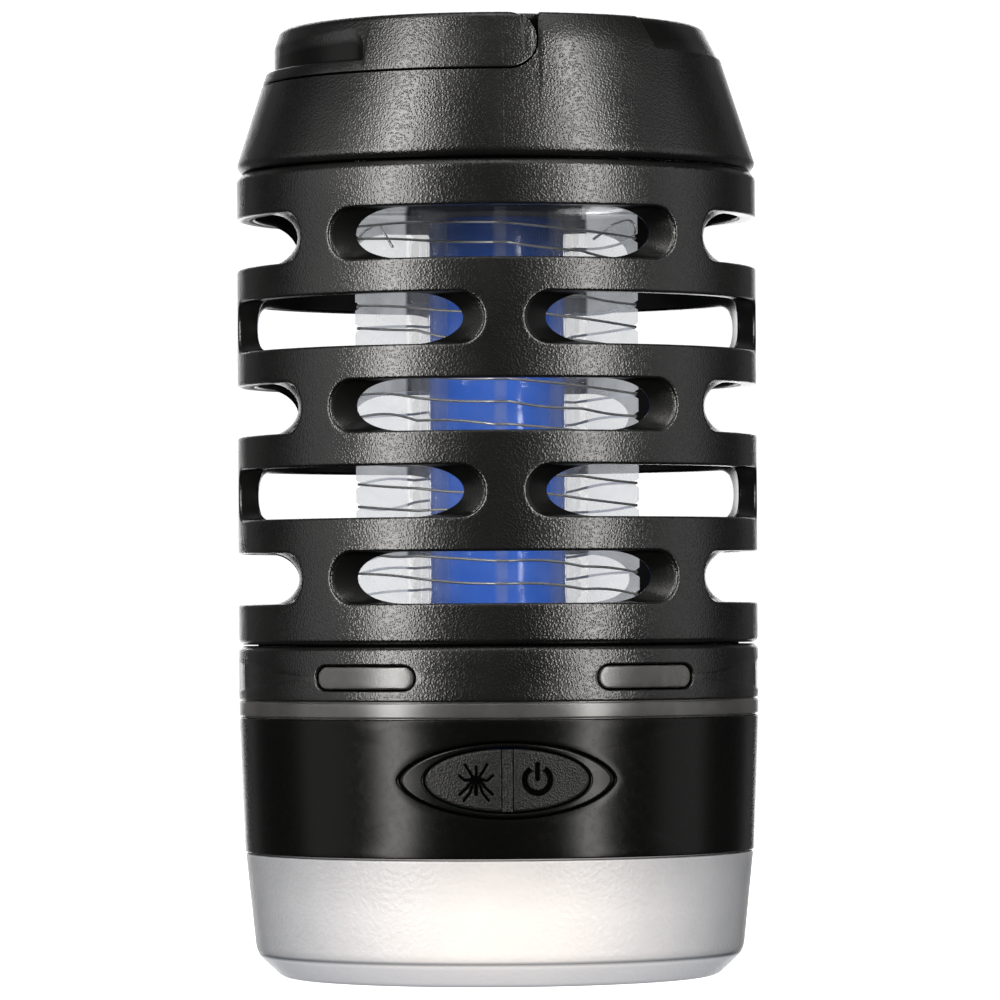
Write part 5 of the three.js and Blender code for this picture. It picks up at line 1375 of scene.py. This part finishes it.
def frosted_opal(tree, place):
    """Glow of facing^2.2 times a share of the height, plus a spill below the crease; the facing term and the
    dark crease line are painted shade.
    """
    grain = node(tree, "TexNoise", {"Vector": place, "Scale": per_mm(0.8), "Detail": 3.0})
    mottle = node(tree, "TexNoise", {"Vector": place, "Scale": per_mm(5), "Detail": 2.0})
    height = node(tree, "SeparateXYZ", [place]).outputs["Z"]
    facing = node(tree, "LayerWeight", {"Blend": 0.5}).outputs["Facing"]
    # Painted shade: the glow and its warmth fall off where the bowl turns away from the camera.
    toward = node(tree, "Math", [node(tree, "MapRange", [facing, 1, 0]), 2.2], operation="POWER")
    glow = node(tree, "Math", [toward, node(tree, "MapRange", [height, *GLOW_SPAN, 0.45, 0.78])],
                operation="MULTIPLY")
    # Painted shade along the crease: a dark grey-blue colour and a weaker glow.
    crease = node(tree, "Math", [
        node(tree, "MapRange", [height, CREASE_HEIGHT - CREASE_REACH, CREASE_HEIGHT]),
        node(tree, "MapRange", [height, CREASE_HEIGHT + CREASE_REACH, CREASE_HEIGHT])], operation="MULTIPLY")
    spill = node(tree, "MapRange", [height, CREASE_HEIGHT, CREASE_HEIGHT - CREASE_REACH, 0, 0.3])
    glow_with_crease_shade = node(tree, "Math", [glow, node(tree, "MapRange", [crease, 0, 1, 1, 0.45])], operation="MULTIPLY")
    skin = node(tree, "Mix", {"Factor": mottle, "A": "#a4a6aa", "B": "#b6b7ba"}, data_type="RGBA")
    warmth = node(tree, "Mix", {"Factor": toward, "A": "#f2f4fb", "B": "#fff3e8"}, data_type="RGBA")
    return node(tree, "BsdfPrincipled", {
        "Base Color": node(tree, "Mix", {"Factor": crease, "A": skin, "B": "#59616d"}, data_type="RGBA"),
        "Roughness": 0.36, "IOR": 1.58,
        "Normal": node(tree, "Bump", {"Height": grain, "Strength": 0.8, "Distance": 0.0002}),
        "Subsurface Weight": 0.3, "Subsurface Radius": (1.0, 0.9, 0.8), "Subsurface Scale": 0.003,
        "Emission Color": warmth, "Emission Strength": node(tree, "Math", [glow_with_crease_shade, spill], operation="ADD")})


FINISHES["frosted_cover"] = finish("polycarbonate_opal_frosted", frosted_opal)

# %% [markdown]
# ### Clear polycarbonate
# The cage is clear and about 2 mm thick. It is drawn as a thin veil over what is behind it, with a
# sharp gloss, because a ray traced through many clear walls would need far more light paths. Faint
# flow marks about 6 mm long vary the veil. The cage also has a faint painted glow, though it is no
# lamp, and the fins that stand out sideways a stronger one with a thicker veil: painted light for
# what they catch from the sides.

# %% Clear polycarbonate
FIN_REACH = 0.0153
FIN_FADE = 0.0003


def clear_plastic(tree, place):
    """A veil that is thicker in the fins that stand out sideways, with a painted glow that makes them paler,
    standing in for the light they catch; elsewhere the painted glow is faint.
    """
    flow = node(tree, "TexNoise", {"Vector": place, "Scale": per_mm(6), "Detail": 2.0})
    x = node(tree, "SeparateXYZ", [place]).outputs["X"]
    aside = node(tree, "Math", [x], operation="ABSOLUTE")
    # Mask of the fins that stand out sideways, which get a thicker veil and a painted glow.
    sideways = node(tree, "MapRange", [aside, FIN_REACH - FIN_FADE, FIN_REACH + FIN_FADE])
    colour = node(tree, "Mix", {"Factor": flow, "A": "#b9bdc1", "B": "#dfe1e3"}, data_type="RGBA")
    veil = node(tree, "Math", [
        node(tree, "MapRange", [sideways, 0, 1, 0.12, 0.40]),
        node(tree, "MapRange", [flow, 0.3, 0.7, 0.8, 1.2])], operation="MULTIPLY")
    return node(tree, "BsdfPrincipled", {
        "Base Color": colour, "Roughness": 0.09, "IOR": 1.58, "Alpha": veil,
        "Normal": node(tree, "Bump", {"Height": flow, "Strength": 0.3, "Distance": 0.0005}),
        # Painted glow, though the cage is no lamp: 0.03 everywhere and 0.5 on the side fins, standing in for
        # the light they catch.
        "Coat Weight": 0.4, "Coat Roughness": 0.05, "Emission Color": colour,
        "Emission Strength": node(tree, "MapRange", [sideways, 0, 1, 0.03, 0.5])})


FINISHES["clear_plastic"] = finish("polycarbonate_clear", clear_plastic)

# %% [markdown]
# ### Blue-tinted polycarbonate
# The core's tube is dyed blue and glows with the ultraviolet diodes' light. Its glow and its blue are
# brighter low down and nearly navy under its top, and the glow is painted weaker where the tube
# turns away from the camera, as painted shade.

# %% Blue-tinted plastic
CORE_LIT_SPAN = (0.125, 0.106)


def core_blue(tree, place):
    """Glow of facing times a share of the height, varied in clouds 7 mm across; the facing term is painted
    shade towards the tube's edges.
    """
    height = node(tree, "SeparateXYZ", [place]).outputs["Z"]
    cloud = node(tree, "TexNoise", {"Vector": place, "Scale": per_mm(7), "Detail": 2.0})
    lit = node(tree, "MapRange", [height, *CORE_LIT_SPAN])
    facing = node(tree, "LayerWeight", {"Blend": 0.5}).outputs["Facing"]
    # Painted shade: the glow falls to 0.15 of itself where the tube turns away from the camera.
    through = node(tree, "Math", [
        node(tree, "MapRange", [facing, 0, 1, 1, 0.15]), node(tree, "MapRange", [lit, 0, 1, 0.08, 0.55])],
        operation="MULTIPLY")
    return node(tree, "BsdfPrincipled", {
        "Base Color": node(tree, "Mix", {"Factor": lit, "A": "#071c48", "B": "#0a2f86"}, data_type="RGBA"),
        "Roughness": 0.14, "IOR": 1.58, "Emission Color": "#0c70ee",
        "Emission Strength": node(tree, "Math", [
            through, node(tree, "MapRange", [cloud, 0.2, 0.8, 0.85, 1.15])], operation="MULTIPLY")})


FINISHES["core_blue"] = finish("polycarbonate_blue_tinted", core_blue)

# %% [markdown]
# ### Bright steel
# Wire, screws, pins and the socket's shell are bright drawn or plated steel. Drawing leaves marks
# along the wire, drawn 0.8 mm long because the real ones are too fine to show, and they break up the
# shine. The metal keeps its default index of refraction.

# %% Bright steel
def bright_steel(tree, place):
    """Metal whose tone and roughness both follow the drawing marks."""
    marks = node(tree, "TexNoise", {"Vector": place, "Scale": per_mm(0.8), "Detail": 3.0})
    return node(tree, "BsdfPrincipled", {
        "Base Color": node(tree, "Mix", {"Factor": marks, "A": "#d6d7d8", "B": "#f2f2f2"}, data_type="RGBA"),
        "Roughness": node(tree, "MapRange", [marks, 0.3, 0.7, 0.42, 0.55]), "Metallic": 1.0})


FINISHES["bright_steel"] = finish("steel_bright_drawn", bright_steel)

# %% [markdown]
# ### Inner parts
# Boards, the cell, the transformer and the capacitors are hidden, but they are part of the object
# and show when it is opened. They share one recipe: two close colours mottled at a real size, a
# roughness and a shallow bump.

# %% Inner parts
def mottled(tree, place, dark, pale, size, roughness):
    """Two colours mixed by noise of one size in mm, which is also the bump."""
    mottle = node(tree, "TexNoise", {"Vector": place, "Scale": per_mm(size), "Detail": 3.0})
    share = node(tree, "MapRange", [mottle, 0.35, 0.65])
    return node(tree, "BsdfPrincipled", {
        "Base Color": node(tree, "Mix", {"Factor": share, "A": dark, "B": pale}, data_type="RGBA"),
        "Roughness": roughness, "Specular IOR Level": 0.5,
        "Normal": node(tree, "Bump", {"Height": mottle, "Strength": 0.4, "Distance": 0.00003})})


for slot, name, *details in [
        ("white_board", "solder_mask_white", "#dcdcd6", "#ecece8", 2.0, 0.35),
        ("led_phosphor", "phosphor_under_resin", "#d8c25e", "#ecdc8c", 0.6, 0.25),
        ("black_nylon", "nylon_black_moulded", "#131313", "#1d1d1d", 0.8, 0.5),
        ("circuit_board", "solder_mask_green", "#14502c", "#1d6a3c", 1.5, 0.35),
        ("ferrite", "ferrite_sintered", "#242427", "#313135", 0.5, 0.65),
        ("capacitor_red", "epoxy_dip_red", "#74281a", "#8f3a24", 1.0, 0.3),
        ("cell_wrap", "shrink_sleeve_blue", "#24609e", "#2f74b8", 6.0, 0.3)]:
    FINISHES[slot] = finish(name, mottled, *details)

for row in frame["record"]["subparts"]:
    cad_node = frame["nodes"][row["node"]]
    cad_node.data.materials.clear()
    cad_node.data.materials.append(FINISHES[row["material_slot"]])
for thing in bpy.context.scene.objects:
    if thing.type == "MESH" and "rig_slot" in thing:
        thing.data.materials.append(FINISHES[thing["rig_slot"]])
print(f"{len(FINISHES)} finishes")

# %% [markdown]
# ## Stage
# A seamless bowl of pale paper: flat under the object, then curving up all round it. It isn't seen in
# reflections, as with black flags round a glossy product, so that the dark plastic stays dark.

# %% Make the stage
PAPER_FLAT = 1800
PAPER_BEND = 1200
PAPER_TOP = 6000
PAPER_FIBRE = 40


def sweep_profile():
    """Radius and height in mm: flat from the axis, a quarter circle, and straight up."""
    bend = np.radians(np.linspace(0, 90, 24))
    radius = np.concatenate([[0.0, 200.0], PAPER_FLAT + PAPER_BEND * np.sin(bend), [PAPER_FLAT + PAPER_BEND]])
    height = np.concatenate([[0.0, 0.0], PAPER_BEND * (1 - np.cos(bend)), [PAPER_TOP]])
    return np.stack([radius, height], -1)


def pale_paper(tree, place):
    """Matt white fibres, lit evenly from behind like a lightbox."""
    fibre = node(tree, "TexNoise", {"Vector": place, "Scale": per_mm(PAPER_FIBRE), "Detail": 3.0})
    return node(tree, "BsdfPrincipled", {
        "Base Color": node(tree, "Mix", {"Factor": fibre, "A": "#f4f3f1", "B": "#fbfaf8"}, data_type="RGBA"),
        "Roughness": 0.9, "Specular IOR Level": 0.1, "Emission Color": "#ffffff", "Emission Strength": 1.0})


grid, wrap = turned(sweep_profile(), 96)
paper_mesh = mesh_from("paper", grid.reshape(-1, 3) * MM, grid_faces(*grid.shape[:2], wrap))
paper_mesh.polygons.foreach_set("use_smooth", np.ones(len(paper_mesh.polygons), dtype=bool))
paper_mesh.materials.append(finish("paper_pale", pale_paper))
paper = bpy.data.objects.new("paper", paper_mesh)
bpy.context.scene.collection.objects.link(paper)
paper.visible_glossy = False
paper.visible_diffuse = False

# %% [markdown]
# ## Light
# Two tall soft strips stand left and right of the camera and draw the two upright highlights on the
# round body. A weak wide panel farther out on each side, and a dim one at each rim, keep the edges
# from going black. A pair behind lights the back, and a top panel lights the lid and the lower rims
# of the openings. The camera doesn't see the panels themselves.

# %% Make the lights
AIM_HEIGHT = 0.09


def panel_light(name, azimuth, distance, height, width, tall, power, colour="#ffffff"):
    """A rectangular area light at an azimuth round the object, facing its axis."""
    data = bpy.data.lights.new(name, "AREA")
    data.shape = "RECTANGLE"
    data.size, data.size_y = width, tall
    data.energy = power
    data.color = linear(colour)[:3]
    panel = bpy.data.objects.new(name, data)
    panel.visible_camera = False
    bpy.context.scene.collection.objects.link(panel)
    angle = math.radians(azimuth)
    spot = Vector((distance * math.sin(angle), -distance * math.cos(angle), height))
    panel.location = spot
    panel.rotation_euler = (Vector((0, 0, AIM_HEIGHT)) - spot).to_track_quat("-Z", "Y").to_euler()


# Azimuth in degrees; distance, height, width and tall in metres; power in watts.
PANELS = [
    ("strip_left", -48, 0.8, 0.28, 0.20, 1.1, 8.0, "#fffdfa"),
    ("strip_right", 39, 0.8, 0.28, 0.15, 1.1, 6.5, "#fffdfa"),
    ("side_left", -84, 1.0, 0.2, 0.5, 0.9, 0.8),
    ("side_right", 86, 1.0, 0.2, 0.5, 0.9, 0.8),
    ("rim_left", -145, 0.9, 0.25, 0.25, 1.0, 0.12),
    ("rim_right", 145, 0.9, 0.25, 0.25, 1.0, 0.12),
    ("rear_left", -169, 0.9, 0.25, 0.25, 1.0, 2.5),
    ("rear_right", 169, 0.9, 0.25, 0.25, 1.0, 2.5),
    ("overhead", 0, 0.15, 1.0, 0.7, 0.5, 1.5),
]
for row in PANELS:
    panel_light(*row)
print(f"{len(PANELS)} lights")

WORLD_STRENGTH = 0.03
world = bpy.data.worlds.new("studio")
world.use_nodes = True
background = world.node_tree.nodes["Background"].inputs
background["Color"].default_value = linear("#ffffff")
background["Strength"].default_value = WORLD_STRENGTH
bpy.context.scene.world = world
bpy.context.scene.view_settings.view_transform = "Standard"

# %% [markdown]
# ## Camera
# A long lens about a metre away, a little below the middle of the tower and looking up by one
# degree, so that the upper edges curve up and the lower edges curve down.

# %% Make the camera
CAMERA_DISTANCE = 1.0702
CAMERA_HEIGHT = 0.0626
CAMERA_ASIDE = 0.0004
CAMERA_PITCH = 0.959
CAMERA_ROLL = -0.339
CAMERA_AZIMUTH = -1.8
CAMERA_LENS = 226.92
CAMERA_SENSOR = 36
CAMERA_REACH = (0.01, 20)

camera_data = bpy.data.cameras.new("camera")
camera_data.sensor_width = CAMERA_SENSOR
camera_data.lens = CAMERA_LENS
camera_data.clip_start, camera_data.clip_end = CAMERA_REACH
camera = bpy.data.objects.new("camera", camera_data)
bpy.context.scene.collection.objects.link(camera)
camera.matrix_world = (Matrix.Rotation(math.radians(CAMERA_AZIMUTH), 4, "Z")
                       @ Matrix.Translation((CAMERA_ASIDE, -CAMERA_DISTANCE, CAMERA_HEIGHT))
                       @ Matrix.Rotation(math.radians(90 + CAMERA_PITCH), 4, "X")
                       @ Matrix.Rotation(math.radians(CAMERA_ROLL), 4, "Z"))
bpy.context.scene.camera = camera
print("camera at", [round(v, 3) for v in camera.matrix_world.translation])
